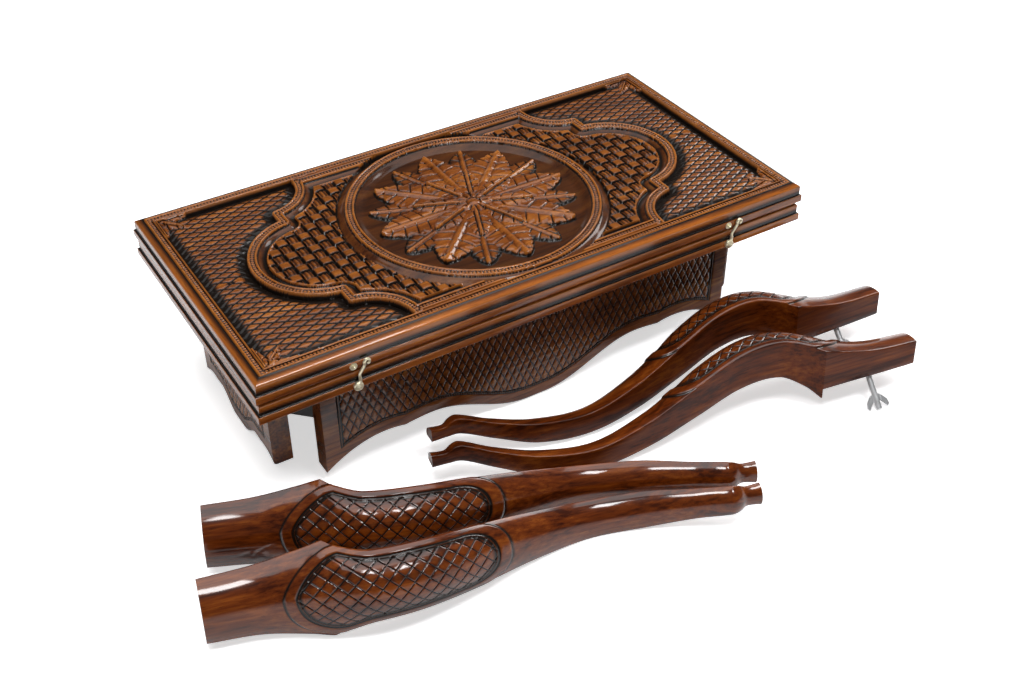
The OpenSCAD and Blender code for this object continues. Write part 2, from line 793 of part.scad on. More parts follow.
module bracket(corner) {
    color(black_iron) in_corner(corner) difference() {
        translate([0, 0, bolt_z - bracket_h / 2]) linear_extrude(bracket_h) polygon([
            [bend_x - flange_l, apron_in_y], [bend_x, apron_in_y],
            [apron_in_x, bend_y], [apron_in_x, bend_y - flange_l],
            [apron_in_x - bracket_t, bend_y - flange_l], [apron_in_x - bracket_t, bend_y - bend_back],
            [bend_x - bend_back, apron_in_y - bracket_t], [bend_x - flange_l, apron_in_y - bracket_t]]);
        translate([(bend_x + apron_in_x) / 2, (bend_y + apron_in_y) / 2, bolt_z]) rotate([0, 90, 45])
            cylinder(h = 6 * bracket_t, r = bolt_r + bolt_clear, center = true);
        bracket_holes(screw_r + shank_fit, -cut, bracket_t + 2 * cut);
    }
}

// Shafts through both flanges of a bracket, from a height above the flange's inner face
module bracket_holes(r, from, length) {
    for (dz = screw_rows) {
        translate([screw_place(front), apron_in_y - bracket_t + from, bolt_z + dz])
            rotate([-90, 0, 0]) cylinder(h = length, r = r);
        translate([apron_in_x - bracket_t + from, screw_place(right), bolt_z + dz])
            rotate([0, 90, 0]) cylinder(h = length, r = r);
    }
}

module bracket_screws() {
    color(zinc) for (corner = [front_left, front_right, back_left, back_right]) in_corner(corner) {
        bracket_holes(screw_head_r, -screw_head_h, screw_head_h);
        bracket_holes(screw_r, -screw_head_h, screw_head_h + bracket_t + screw_in);
    }
}

// Legs: X runs from the post's top to the foot, the two outer faces look to +Z and -Y
function along(share) = post_l + share * (leg_l - post_l);
ankle_outer = ankle_t - ankle_in;
outer_face = [[0, post], [0.44 * post_l, post + 0.125 * knee_out], [0.82 * post_l, post + 0.51 * knee_out],
    [post_l, post + 0.75 * knee_out], [along(0.10), post + knee_out], [along(0.20), post + 0.9 * knee_out],
    [along(0.33), post + 0.375 * knee_out], [along(0.47), ankle_outer + 0.255 * post],
    [along(0.61), ankle_outer], [along(0.745), ankle_outer + 0.19 * foot_out],
    [along(0.85), ankle_outer + 0.58 * foot_out], [along(0.925), ankle_outer + foot_out],
    [along(0.945), ankle_outer + 0.95 * foot_out], [along(0.96), ankle_outer + 0.72 * foot_out],
    [leg_l, ankle_outer + 0.84 * foot_out]];
foot_inner = ankle_outer + foot_out - foot_t;
foot_rise = foot_inner + ankle_in;
inner_face = [[post_l, 0], [along(0.03), 0.48 * knee_in], [along(0.09), knee_in],
    [along(0.20), 0.99 * knee_in], [along(0.33), 0.54 * knee_in], [along(0.47), 0.07 * knee_in],
    [along(0.61), -ankle_in], [along(0.745), 0.19 * foot_rise - ankle_in],
    [along(0.85), 0.64 * foot_rise - ankle_in], [along(0.925), foot_inner],
    [along(0.96), foot_inner + 0.04 * foot_out], [leg_l, foot_inner + 0.05 * foot_out]];

// Smooth curve through [place, value] knots
function knot_at(knots, x, k = 0) = k >= len(knots) - 2 || x < knots[k + 1][0] ? k
    : knot_at(knots, x, k + 1);
function knot_slope(knots, k) = let (a = knots[max(k - 1, 0)], b = knots[min(k + 1, len(knots) - 1)])
    (b[1] - a[1]) / (b[0] - a[0]);
function curve(knots, x) = let (
        k = knot_at(knots, x), a = knots[k], b = knots[k + 1], step = b[0] - a[0], t = (x - a[0]) / step)
    (2 * t ^ 3 - 3 * t ^ 2 + 1) * a[1] + (3 * t ^ 2 - 2 * t ^ 3) * b[1]
    + step * ((t ^ 3 - 2 * t ^ 2 + t) * knot_slope(knots, k) + (t ^ 3 - t ^ 2) * knot_slope(knots, k + 1));

// One ring of the leg: a square with its outer corner rounded and its inner corner chamfered
corner_steps = 6;
edge_chamfer = 2;
function leg_ring(x) = let (
        on_post = x <= post_l, outer = curve(outer_face, x), inner = on_post ? 0 : curve(inner_face, x),
        r = corner_share * (outer - inner), c = on_post ? post_chamfer : edge_chamfer)
    concat([[x, -inner - c, inner], [x, -inner, inner + c], [x, -inner, outer]],
        [for (k = [0:corner_steps]) let (t = 90 - 90 * k / corner_steps)
            [x, -outer + r - r * cos(t), outer - r + r * sin(t)]],
        [[x, -outer, inner]]);
leg_stations = concat([for (k = [0:6]) post_l * k / 6], [post_l + 0.5],
    [for (k = [1:8]) along(0.1 * k / 8)], [for (k = [1:26]) along(0.1 + 0.8 * k / 26)],
    [for (k = [1:8]) along(0.9 + 0.1 * k / 8)]);
leg_rings = [for (x = leg_stations) leg_ring(x)];
ring_n = len(leg_rings[0]);
leg_points = [for (ring = leg_rings) each ring];
leg_faces = concat([[for (k = [ring_n - 1:-1:0]) k]],
    [for (j = [0:len(leg_rings) - 2], k = [0:ring_n - 1])
        let (a = j * ring_n + k, b = j * ring_n + (k + 1) % ring_n)
            each [[a, b, b + ring_n], [a, b + ring_n, a + ring_n]]],
    [[for (k = [0:ring_n - 1]) k + (len(leg_rings) - 1) * ring_n]]);

// Poses on the floor in front of the case: place, turn about Z, pitch and roll, the place's distance from
// the post's top, and the wing nut's place. The front left leg is placed by its post's top, the right ones
// by their bolts, and the back left one by where it passes the front right one.
lying_left = [1.9, 14.1];
lying_right = [2.4, 2.8];
front_y = -case_d / 2;
pose_front_left = [front_left_x, front_y - front_left_out, -13.4, lying_left, 0, nut_back];
pose_front_right = [front_right_x, front_y - front_right_out, 168.2, lying_right, bolt_drop, nut_back];
pose_back_right = [back_right_x, front_y - back_right_out, 174, lying_right, bolt_drop, nut_back_far];
passed_share = 0.724;
passing_share = 0.69;
passed = laid([passed_share * leg_l, 0, 0], pose_front_right);
pose_back_left = [passed[0] - pass_left, passed[1] - pass_front, -19.9, lying_left, passing_share * leg_l,
    nut_back];
leg_poses = [pose_front_left, pose_front_right, pose_back_left, pose_back_right];

// The bolt's direction and ends in a leg's own axes, and how far its rim drops below its end's middle
bolt_way = [0, sqrt(0.5), -sqrt(0.5)];
bolt_start = [bolt_drop, -post_chamfer / 2, post_chamfer / 2];
bolt_end = bolt_start + bolt_out * bolt_way;
function way_z(pose) = tipped(bolt_end, pose)[2] - tipped(bolt_end - bolt_way, pose)[2];

function tipped(p, pose) = let (pitch = pose[3][0], roll = pose[3][1], x = p[0] - pose[4],
        y = cos(roll) * p[1] - sin(roll) * p[2], z = sin(roll) * p[1] + cos(roll) * p[2])
    [cos(pitch) * x + sin(pitch) * z, y, cos(pitch) * z - sin(pitch) * x];
function laid(p, pose) = let (q = tipped(p, pose), turn = pose[2])
    [pose[0] + cos(turn) * q[0] - sin(turn) * q[1], pose[1] + sin(turn) * q[0] + cos(turn) * q[1]];
function rim_drop(pose) = bolt_r * sqrt(1 - way_z(pose) ^ 2);
function floor_lift(pose) = -min(concat([tipped(bolt_end, pose)[2] - rim_drop(pose)],
    [for (p = leg_points) tipped(p, pose)[2]]));

module lay(pose) {
    translate([pose[0], pose[1], floor_lift(pose)]) rotate([pose[3][1], pose[3][0], pose[2]])
        translate([-pose[4], 0, 0]) children();
}

module on_bolt(at = 0) {
    translate(bolt_start + at * bolt_way) rotate([-135, 0, 0]) children();
}

module leg(pose) {
    color(walnut) lay(pose) difference() {
        polyhedron(leg_points, leg_faces, convexity = 6);
        on_bolt(-bolt_in) cylinder(h = bolt_in + cut, r = bolt_r + shank_fit);
    }
}

module bolt(pose) {
    color(zinc) lay(pose) on_bolt(-bolt_in) cylinder(h = bolt_in + bolt_out, r = bolt_r);
}

// A hub with two wings that lean outward towards the bolt's free end
module wing_nut(pose) {
    wing_root = (hub_r + bolt_r + nut_fit) / 2;
    color(zinc) lay(pose) on_bolt(bolt_out - pose[5]) difference() {
        union() {
            cylinder(h = hub_h, r = hub_r);
            for (s = [0, 1]) mirror([s, 0, 0]) translate([0, wing_t / 2, 0]) rotate([90, 0, 0])
                linear_extrude(wing_t) polygon([[wing_root, 0.2 * hub_h], [hub_r + 1, 0.2 * hub_h],
                    [wing_reach - 1, hub_h], [wing_reach, hub_h + 0.7 * wing_rise],
                    [wing_reach - wing_end / 2, hub_h + wing_rise],
                    [wing_reach - wing_end, hub_h + 0.6 * wing_rise], [wing_root, hub_h]]);
        }
        translate([0, 0, -cut]) cylinder(h = hub_h + 2 * cut, r = bolt_r + nut_fit);
    }
}

// Game pieces on the tray's play surface: a block of checkers at each end and the dice beside them
checker_columns = 3;
checker_rows = 5;
checker_pitch = checker_d + checker_gap;
piece_z = play_z + play_t;
block_x = inner_l / 2 - board_fit - 1 - checker_columns * checker_pitch / 2;

module checker() {
    r = checker_d / 2;
    rotate_extrude() polygon([[0, 0], [r - dish, 0], [r, dish], [r, checker_t - dish], [r - dish, checker_t],
        [r - rim_w, checker_t], [r - rim_w - dish, checker_t - dish], [0, checker_t - dish]]);
}

module checkers(side) {
    for (i = [0:checker_columns - 1], j = [0:checker_rows - 1])
        translate([side * block_x + (i - (checker_columns - 1) / 2) * checker_pitch,
            (j - (checker_rows - 1) / 2) * checker_pitch, piece_z]) checker();
}

module checkers_light() {
    color(light_wood) checkers(-1);
}

module checkers_dark() {
    color(dark_walnut) checkers(1);
}

module dice() {
    color(light_wood) for (s = [-1, 1])
        translate([block_x - checker_columns * checker_pitch / 2 - die, 1.5 * s * die, piece_z + die / 2])
            intersection() {
                cube(die, center = true);
                sphere(r = 0.7 * die);
            }
}

// The origin is under the middle of everything that lies on the floor
leg_cloud = [for (pose = leg_poses, p = leg_points) laid(p, pose)];
cloud_x = concat([for (p = leg_cloud) p[0]], [-case_l / 2, case_l / 2]);
cloud_y = concat([for (p = leg_cloud) p[1]], [hinge_y + knuckle_r]);
middle = [(min(cloud_x) + max(cloud_x)) / 2, (min(cloud_y) + max(cloud_y)) / 2, 0];

module set_down() {
    translate(-middle) children();
}

set_down() lid_rail_front();
set_down() lid_rail_back();
set_down() lid_rail(left);  // lid_rail_left
set_down() lid_rail(right);  // lid_rail_right
set_down() lid_carved_panel();
set_down() lid_play_surface();
set_down() lid_points(0, light_wood);  // lid_points_light
set_down() lid_points(1, walnut);  // lid_points_dark
set_down() tray_rail_front();
set_down() tray_rail_back();
set_down() tray_rail(left);  // tray_rail_left
set_down() tray_rail(right);  // tray_rail_right
set_down() tray_bottom();
set_down() tray_play_surface();
set_down() tray_points(0, light_wood);  // tray_points_light
set_down() tray_points(1, walnut);  // tray_points_dark
set_down() apron(front);  // apron_front
set_down() apron(back);  // apron_back
set_down() apron(left);  // apron_left
set_down() apron(right);  // apron_right
set_down() apron_cleats();
set_down() cleat_screws();
set_down() bracket(front_left);  // bracket_front_left
set_down() bracket(front_right);  // bracket_front_right
set_down() bracket(back_left);  // bracket_back_left
set_down() bracket(back_right);  // bracket_back_right
set_down() bracket_screws();
set_down() hinge_leaf_tray(-hinge_x);  // hinge_leaf_tray_left
set_down() hinge_leaf_tray(hinge_x);  // hinge_leaf_tray_right
set_down() hinge_leaf_lid(-hinge_x);  // hinge_leaf_lid_left
set_down() hinge_leaf_lid(hinge_x);  // hinge_leaf_lid_right
set_down() hinge_pin(-hinge_x);  // hinge_pin_left
set_down() hinge_pin(hinge_x);  // hinge_pin_right
set_down() color(zinc) hinge_screws();  // hinge_screws_tray
set_down() color(zinc) turned_up() hinge_screws();  // hinge_screws_lid
set_down() hook_plate(-latch_x);  // hook_plate_left
set_down() hook_plate(latch_x);  // hook_plate_right
set_down() hook_pivots();
set_down() hook(-latch_x);  // hook_left
set_down() hook(latch_x);  // hook_right
set_down() keeper(-latch_x);  // keeper_left
set_down() keeper(latch_x);  // keeper_right
set_down() leg(pose_front_left);  // leg_front_left
set_down() leg(pose_front_right);  // leg_front_right
set_down() leg(pose_back_left);  // leg_back_left
set_down() leg(pose_back_right);  // leg_back_right
set_down() bolt(pose_front_left);  // bolt_front_left
set_down() bolt(pose_front_right);  // bolt_front_right
set_down() bolt(pose_back_left);  // bolt_back_left
set_down() bolt(pose_back_right);  // bolt_back_right
set_down() wing_nut(pose_front_left);  // wing_nut_front_left
set_down() wing_nut(pose_front_right);  // wing_nut_front_right
set_down() wing_nut(pose_back_left);  // wing_nut_back_left
set_down() wing_nut(pose_back_right);  // wing_nut_back_right
set_down() checkers_light();
set_down() checkers_dark();
set_down() dice();
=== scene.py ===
"""Dresses the carved backgammon table board: case, aprons, four detached legs and the white stage."""

import math
from types import SimpleNamespace

import bpy
import numpy as np
from bpy.props import FloatProperty, FloatVectorProperty, PointerProperty
from mathutils import Matrix, Vector


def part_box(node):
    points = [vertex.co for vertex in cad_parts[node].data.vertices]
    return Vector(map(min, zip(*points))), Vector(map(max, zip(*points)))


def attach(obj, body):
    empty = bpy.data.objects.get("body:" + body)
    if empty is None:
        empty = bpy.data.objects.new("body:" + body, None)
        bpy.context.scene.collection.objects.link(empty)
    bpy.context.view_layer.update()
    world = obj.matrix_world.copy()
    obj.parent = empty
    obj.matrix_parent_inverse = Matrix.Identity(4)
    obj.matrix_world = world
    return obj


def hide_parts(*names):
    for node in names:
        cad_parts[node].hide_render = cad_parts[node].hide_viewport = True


bl_info = {
    "name": "Carved Backgammon Table Board",
    "version": (1, 0, 0),
    "blender": (4, 5, 0),
    "location": "View3D > Sidebar > Board",
    "description": "Builds the looks of a carved backgammon board with its aprons and four detached legs",
    "category": "Object",
}

MM = 0.001
SIDES = ("front", "back", "left", "right")
CORNERS = ("front_left", "front_right", "back_left", "back_right")
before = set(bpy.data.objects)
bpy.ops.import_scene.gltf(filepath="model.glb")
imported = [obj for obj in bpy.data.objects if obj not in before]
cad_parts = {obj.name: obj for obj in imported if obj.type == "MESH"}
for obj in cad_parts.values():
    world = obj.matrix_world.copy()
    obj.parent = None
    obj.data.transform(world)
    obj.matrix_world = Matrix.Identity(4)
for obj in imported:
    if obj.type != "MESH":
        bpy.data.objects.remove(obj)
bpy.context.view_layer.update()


def length(name, description, millimetres):
    """A size in a property group, typed in millimetres."""
    return FloatProperty(
        name=name, description=description, default=millimetres * MM, unit="LENGTH", precision=5
    )


def amount(name, description, value):
    """A plain number in a property group."""
    return FloatProperty(name=name, description=description, default=value)


def colour(name, description, red, green, blue):
    """A colour in a property group."""
    return FloatVectorProperty(
        name=name, description=description, default=(red, green, blue), subtype="COLOR", size=3, min=0, max=1
    )


class BoardMoulding(bpy.types.PropertyGroup):
    """Sizes of the moulded rails that frame the lid and the tray."""

    lip: length("Lip height", "Height of the square lip along the line between the halves", 8)
    step: length("Step width", "How far the moulding stands back from the lip", 2)
    arris: length("Arris height", "Height of the rounded edge where the slope begins", 17.8)
    inset: length("Moulding width", "Width of the moulding from the outer face to the panel", 9)
    easing: length("Edge rounding", "Radius worn on the lip's edges", 1.1)
    rounding: length("Arris rounding", "Radius worn on the edge of the slope", 1.6)
    rabbet: length("Rabbet height", "Height of the groove that holds the tray's bottom", 7)


class BoardCarving(bpy.types.PropertyGroup):
    """Sizes of the carving on the lid."""

    cell: length("Carving grid", "Spacing of the carved surface's points", 0.8)
    relief: length("Relief", "Depth from the bands' tops to the ground", 8)
    border: length("Border width", "Width of the rope border along the rails", 9)
    band: length("Band width", "Width of the rope band around the cartouche and the medallion", 9.5)
    pearl: length("Pearl pitch", "Distance between the pearls along a band", 3.4)
    cove: length("Cove width", "Width of the smooth cove beside a band", 9)
    valley: length("Valley width", "Distance over which the end fields rise from the bands", 14)
    scale_length: length("Scale length", "Long diagonal of a carved diamond", 19)
    scale_width: length("Scale width", "Short diagonal of a carved diamond", 8.7)
    weave: length("Weave pitch", "Distance between the strips of the basket weave", 12)
    ring: length("Medallion radius", "Radius of the rope ring's middle", 123)
    straight: length("Cartouche half depth", "Distance of the straight band from the middle", 126.05)
    hollow_x: length("Hollow place", "Distance of the hollow corners' centres from the middle", 181)
    hollow_y: length("Hollow depth", "Distance of those centres along the board's depth", 129.05)
    hollow: length("Hollow radius", "Radius of the hollow corners", 47)
    notch: length("Notch place", "Distance of the notch from the middle", 175.5)
    lobe_x: length("Lobe place", "Distance of the round ends' centres from the middle", 167)
    lobe: length("Lobe radius", "Radius of the round ends", 64.5)
    leaf: length("Corner leaf", "Length of the leaves in the corners", 30)


class BoardAprons(bpy.types.PropertyGroup):
    """Sizes of the aprons under the case."""

    cell: length("Carving grid", "Spacing of the carved surface's points", 0.8)
    thickness: length("Thickness", "Thickness of an apron", 20)
    front_rise: length("Long rise", "Height of the serpentine edge on the long sides", 32)
    side_rise: length("Short rise", "Height of the serpentine edge on the short sides", 16)
    foot: length("End rise", "Height of the edge at an apron's ends", 9)
    flat: length("Belly flat", "Half length of the flat at the belly", 10)
    depth: length("Field depth", "Depth of the lattice field", 1)
    stile: length("Stile", "Plain width at an apron's ends", 15)
    rim: length("Rim", "Plain width above the serpentine edge", 14)
    dots: length("Dotted band", "Width of the dotted band along the field's lower edge", 4.5)
    margin: length("Top margin", "Plain width under the case", 6)
    easing: length("Edge rounding", "Radius along the lower edge", 4)
    lattice_width: length("Lattice width", "Short diagonal of a lattice diamond", 8.6)
    lattice_height: length("Lattice height", "Long diagonal of a lattice diamond", 17.5)


class BoardLegs(bpy.types.PropertyGroup):
    """Sizes of a cabriole leg and of the carved panel on its knee."""

    post_length: length("Post length", "Length of the post", 103)
    whole: length("Length", "Length of a leg", 496)
    chamfer: length("Post chamfer", "Width of the chamfer on the post's inner corner", 13)
    edge: length("Edge chamfer", "Chamfer on the other edges", 2)
    knee_start: length("Panel start", "Start of the knee's carved panel from the post's top", 75)
    ear: length("Panel corner", "Place of the panel's upper corner beside the post", 113)
    round_end: length("Panel round", "Place where the panel's lower end begins to round", 214)
    knee_end: length("Panel end", "End of the knee's carved panel", 249)
    rim: length("Panel rim", "Width of the plain rim around the knee's panel", 8)
    collar: length("Collar", "How far the rim stands out at the panel's ends", 1.5)
    roundness: amount("Roundness", "Radius between the outer faces as a share of their width", 0.88)
    edge_round: length("Edge rounding", "Radius worn on the edges between outer and inner faces", 1.2)
    lattice_along: length("Lattice length", "Diagonal of a diamond along the leg", 13.5)
    lattice_across: length("Lattice width", "Diagonal of a diamond across the leg", 12)


class BoardFinish(bpy.types.PropertyGroup):
    """Colours of the wood, the varnish and the metal."""

    pale: colour("Pale walnut", "Lightest streaks of the varnished walnut", 0.34, 0.112, 0.017)
    mid: colour("Mid walnut", "Main colour of the varnished walnut", 0.175, 0.044, 0.0058)
    deep: colour("Deep walnut", "Dark streaks of the varnished walnut", 0.058, 0.0125, 0.0019)
    # painted shade: this near-black colour darkens the recesses and grooves where shade falls
    patina: colour("Patina", "Dark stain left in the hollows", 0.006, 0.0035, 0.0022)
    maple: colour("Light wood", "Light points and light checkers", 0.58, 0.38, 0.19)
    inner: colour("Inner wood", "Wood of the playing surfaces", 0.24, 0.105, 0.04)
    brass: colour("Brass", "Latches and hinges", 0.72, 0.56, 0.3)
    zinc: colour("Zinc", "Bolts, wing nuts and screws", 0.82, 0.83, 0.84)
    iron: colour("Black iron", "Corner brackets", 0.018, 0.017, 0.016)
    bone: colour("Bone", "Dice", 0.8, 0.75, 0.64)
    gloss: amount("Varnish roughness", "Roughness of the varnish coat", 0.1)


class BoardStage(bpy.types.PropertyGroup):
    """The floor, the lamps and the camera."""

    floor: colour("Floor", "Colour of the pale floor", 0.94, 0.94, 0.95)
    glow: amount("Floor glow", "Light that the floor adds to what the camera sees of it near the board", 0.62)
    lens: amount("Lens", "Focal length of the camera in millimetres", 46.36)
    key: amount("Overhead light", "Power of the large overhead softbox in watts", 28)
    front: amount("Front light", "Power of the small front softbox in watts", 9)
    side: amount("Side light", "Power of the side softbox in watts", 12)
    room: amount("Room light", "Strength of the dim room around the stage", 0.07)


class Wire:
    """One socket of a material's nodes; sums on it add Math nodes, and node() adds any other node."""

    def __init__(self, tree, socket=None):
        self.tree, self.socket = tree, socket

    def node(self, kind, settings=None, inputs=None, output=0):
        """Adds a node of this type, its settings first, then its sockets, and gives one of its outputs."""
        node = self.tree.nodes.new("ShaderNode" + kind)
        for name, value in (settings or {}).items():
            if name == "stops":
                stops = node.color_ramp.elements
                while len(stops) < len(value):
                    stops.new(0.5)
                for stop, (place, tone) in zip(stops, value):
                    stop.position, stop.color = place, (*tone, 1)
            else:
                setattr(node, name, value)
        for name, value in (inputs or {}).items():
            if isinstance(value, Wire):
                self.tree.links.new(value.socket, node.inputs[name])
            else:
                node.inputs[name].default_value = value
        return Wire(self.tree, node.outputs[output] if node.outputs else None)

    def sum(self, operation, first, second):
        """A Math node of two values."""
        return self.node("Math", {"operation": operation}, {0: first, 1: second})

    def __add__(self, other):
        return self.sum("ADD", self, other)

    def __sub__(self, other):
        return self.sum("SUBTRACT", self, other)

    def __mul__(self, other):
        return self.sum("MULTIPLY", self, other)

    def __rsub__(self, other):
        return self.sum("SUBTRACT", other, self)

    __radd__ = __add__
    __rmul__ = __mul__

    def between(self, low, high):
        """Rises smoothly from 0 to 1 as this value goes from low to high."""
        settings = {"interpolation_type": "SMOOTHSTEP"}
        return self.node("MapRange", settings, {"Value": self, "From Min": low, "From Max": high})

    def stretched(self, x, y, z):
        """This vector with each of its directions stretched."""
        return self.node("VectorMath", {"operation": "MULTIPLY"}, {0: self, 1: (x, y, z)})

    def noise(self, detail, roughness=0.55, distortion=0.0):
        """Noise at this place."""
        inputs = {"Vector": self, "Scale": 1, "Detail": detail, "Roughness": roughness}
        return self.node("TexNoise", {}, {**inputs, "Distortion": distortion})

    def mixed(self, low, high):
        """A colour from low to high by this value."""
        return self.node("Mix", {"data_type": "RGBA"}, {0: self, 6: low, 7: high}, output=2)


def rgba(tone, strength=1.0):
    """A colour with full alpha, lightened or darkened."""
    return (*np.multiply(tone, strength), 1)


def new_material(name):
    """An empty material and its first wire."""
    material = bpy.data.materials.new(name)
    material.use_nodes = True
    material.node_tree.nodes.clear()
    return material, Wire(material.node_tree)


def surface(wire, inputs):
    """Ends a material in a Principled surface."""
    shader = wire.node("BsdfPrincipled", {}, inputs)
    wire.node("OutputMaterial", {}, {"Surface": shader})


# waves of the walnut's figure, streaks and pores per metre, along the fibres and across them
FIGURE, STREAK, PORES = (7, 55, 55), (16, 320, 320), (90, 1500, 1500)
# waves of the plain wood's figure along the board, and along the points
ALONG_BOARD, ALONG_POINTS = (8, 70, 70), (60, 9, 60)
# painted light and shade: the groups' walnut as lit and shaded copies of one finish, the rails painted
# lighter, the legs darker and redder, the carving and the aprons a little darker, against the finish's own
# colours, in red, green and blue
RAIL_LIT, LEG_SHADED = np.array((1.2, 1.12, 1.0)), np.array((0.62, 0.46, 0.36))
CARVING_SHADED, APRON_SHADED = 0.88, 0.95
CARVING_DULLNESS = 0.4
SATIN = 0.36


def walnut(name, finish, lightness, dull=0.0):
    """Varnished walnut: streaks along the fibres, crests lighter with wear and painted highlight, painted
    shade in the hollows, a glossy coat.
    """
    material, wire = new_material(name)
    grain = wire.node("Attribute", {"attribute_name": "grain"}, output="Vector")
    hollow, worn, matte = (
        wire.node("Attribute", {"attribute_name": mark}, output="Fac") for mark in ("hollow", "worn", "matte")
    )
    figure = grain.stretched(*FIGURE).noise(5, 0.6, 0.5)
    streak = grain.stretched(*STREAK).noise(3, 0.6)
    pores = grain.stretched(*PORES).noise(2, 0.5)
    tone = (figure - 0.5) * 1.9 + (streak - 0.5) * 1.3 + 0.45
    # lightness carries each group's painted light and shade into all its walnut colours
    low = tone.between(0.1, 0.5).mixed(rgba(finish.deep, lightness), rgba(finish.mid, lightness))
    wood = tone.between(0.45, 0.95).mixed(low, rgba(finish.pale, lightness))
    # crests lighter where worn is set: partly wear, partly painted highlight
    wood = (worn * (0.35 + streak * 0.6)).mixed(wood, rgba(finish.pale, lightness * 1.15))
    wood = (pores.between(0.58, 0.72) * 0.55).mixed(wood, rgba(finish.deep, lightness * 0.5))
    # painted shade: the hollow mark, stirred a little by the streaks, darkens recesses and grooves towards
    # the near-black shade colour
    depth = (hollow + (streak - 0.5) * 0.3).between(0.08, 0.62)
    wood = depth.mixed(wood, rgba(finish.patina))
    rough = SATIN + (streak - 0.5) * 0.12 + depth * 0.2
    bump = wire.node("Bump", {}, {"Strength": 0.07, "Distance": 0.0006, "Height": streak + pores * 0.6})
    surface(wire, {
        "Base Color": wood, "Roughness": rough, "Normal": bump, "Specular IOR Level": 0.06,
        "Coat Weight": (1.0 - dull) - depth * 0.3 - matte * 0.75, "Coat Roughness": finish.gloss,
    })
    return material


def plain_wood(name, tone, along=ALONG_BOARD):
    """Plain finished wood for the inside, streaked along the board."""
    material, wire = new_material(name)
    place = wire.node("TexCoord", output="Object")
    figure = place.stretched(*along).noise(5, 0.6, 0.3)
    fibre = place.stretched(*(12 * value for value in along)).noise(2, 0.5)
    shade = (figure - 0.5) * 1.2 + (fibre - 0.5) * 0.6 + 0.5
    wood = shade.between(0.1, 0.9).mixed(rgba(tone, 0.6), rgba(tone, 1.15))
    rough = SATIN + fibre * 0.12
    surface(wire, {"Base Color": wood, "Roughness": rough, "Coat Weight": 0.3, "Coat Roughness": 0.2})
    return material


def metal(name, tone, roughness, metallic=1.0):
    """Metal with fine uneven polish."""
    material, wire = new_material(name)
    place = wire.node("TexCoord", output="Object")
    cloud = place.stretched(260, 260, 260).noise(3)
    fine = place.stretched(1800, 1800, 1800).noise(2)
    skin = cloud.between(0.3, 0.7).mixed(rgba(tone, 0.76), rgba(tone))
    rough = roughness + (fine - 0.5) * 0.16 + cloud * 0.08
    surface(wire, {"Base Color": skin, "Metallic": metallic, "Roughness": rough})
    return material


def painted(name, tone, roughness):
    """An even painted or polished surface with a little unevenness."""
    material, wire = new_material(name)
    cloud = wire.node("TexCoord", output="Object").stretched(140, 140, 140).noise(4)
    skin = cloud.between(0.2, 0.8).mixed(rgba(tone, 0.8), rgba(tone, 1.1))
    surface(wire, {"Base Color": skin, "Roughness": roughness + (cloud - 0.5) * 0.2})
    return material


def finishes(context):
    """The board's materials by name, made once."""
    finish = context.scene.board_finish
    makers = {
        "walnut_rails": (walnut, finish, RAIL_LIT),
        "walnut_carving": (walnut, finish, CARVING_SHADED, CARVING_DULLNESS),
        "walnut_aprons": (walnut, finish, APRON_SHADED),
        "walnut_legs": (walnut, finish, LEG_SHADED),
        "inner_wood": (plain_wood, finish.inner),
        "light_inlay": (plain_wood, finish.maple, ALONG_POINTS),
        "dark_inlay": (plain_wood, finish.deep, ALONG_POINTS),
        "light_checker": (plain_wood, finish.maple),
        "dark_checker": (plain_wood, finish.deep),
        "brass": (metal, finish.brass, 0.3),
        "zinc": (metal, finish.zinc, 0.34, 0.7),
        "black_iron": (painted, finish.iron, 0.5),
        "bone": (painted, finish.bone, 0.3),
    }
    return SimpleNamespace(**{
        name: bpy.data.materials.get(name) or maker(name, *values)
        for name, (maker, *values) in makers.items()
    })


def in_mm(group):
    """A property group's lengths in millimetres, and its other numbers as they are."""
    kinds = group.bl_rna.properties
    return SimpleNamespace(**{
        name: getattr(group, name) / (MM if kinds[name].unit == "LENGTH" else 1)
        for name in group.__annotations__
    })


def rise(low, high, value):
    """Rises smoothly from 0 to 1 as value goes from low to high."""
    t = np.clip((value - low) / (high - low), 0, 1)
    return t * t * (3 - 2 * t)


def dome(value):
    """A half round: 1 at 0, falling to 0 at -1 and 1."""
    return np.sqrt(np.clip(1 - value * value, 0, 1))


def grid_quads(rows, columns, round_rows=False):
    """Corner numbers of a grid's faces, closed along its columns where round_rows is set."""
    count = columns if round_rows else columns - 1
    row, column = np.meshgrid(np.arange(rows - 1), np.arange(count), indexing="ij")
    here = row * columns + column
    right = row * columns + (column + 1) % columns
    return np.stack([here, right, right + columns, here + columns], -1).reshape(-1, 4)


def bar_faces(rows, columns):
    """Faces of a bar made of closed rings, and the rings that close its two ends."""
    first = np.arange(columns)
    return grid_quads(rows, columns, True), [first[::-1], first + (rows - 1) * columns]


def points_of(x, y, z):
    """Points from three grids of coordinates."""
    return np.stack(np.broadcast_arrays(x, y, z), -1).reshape(-1, 3)


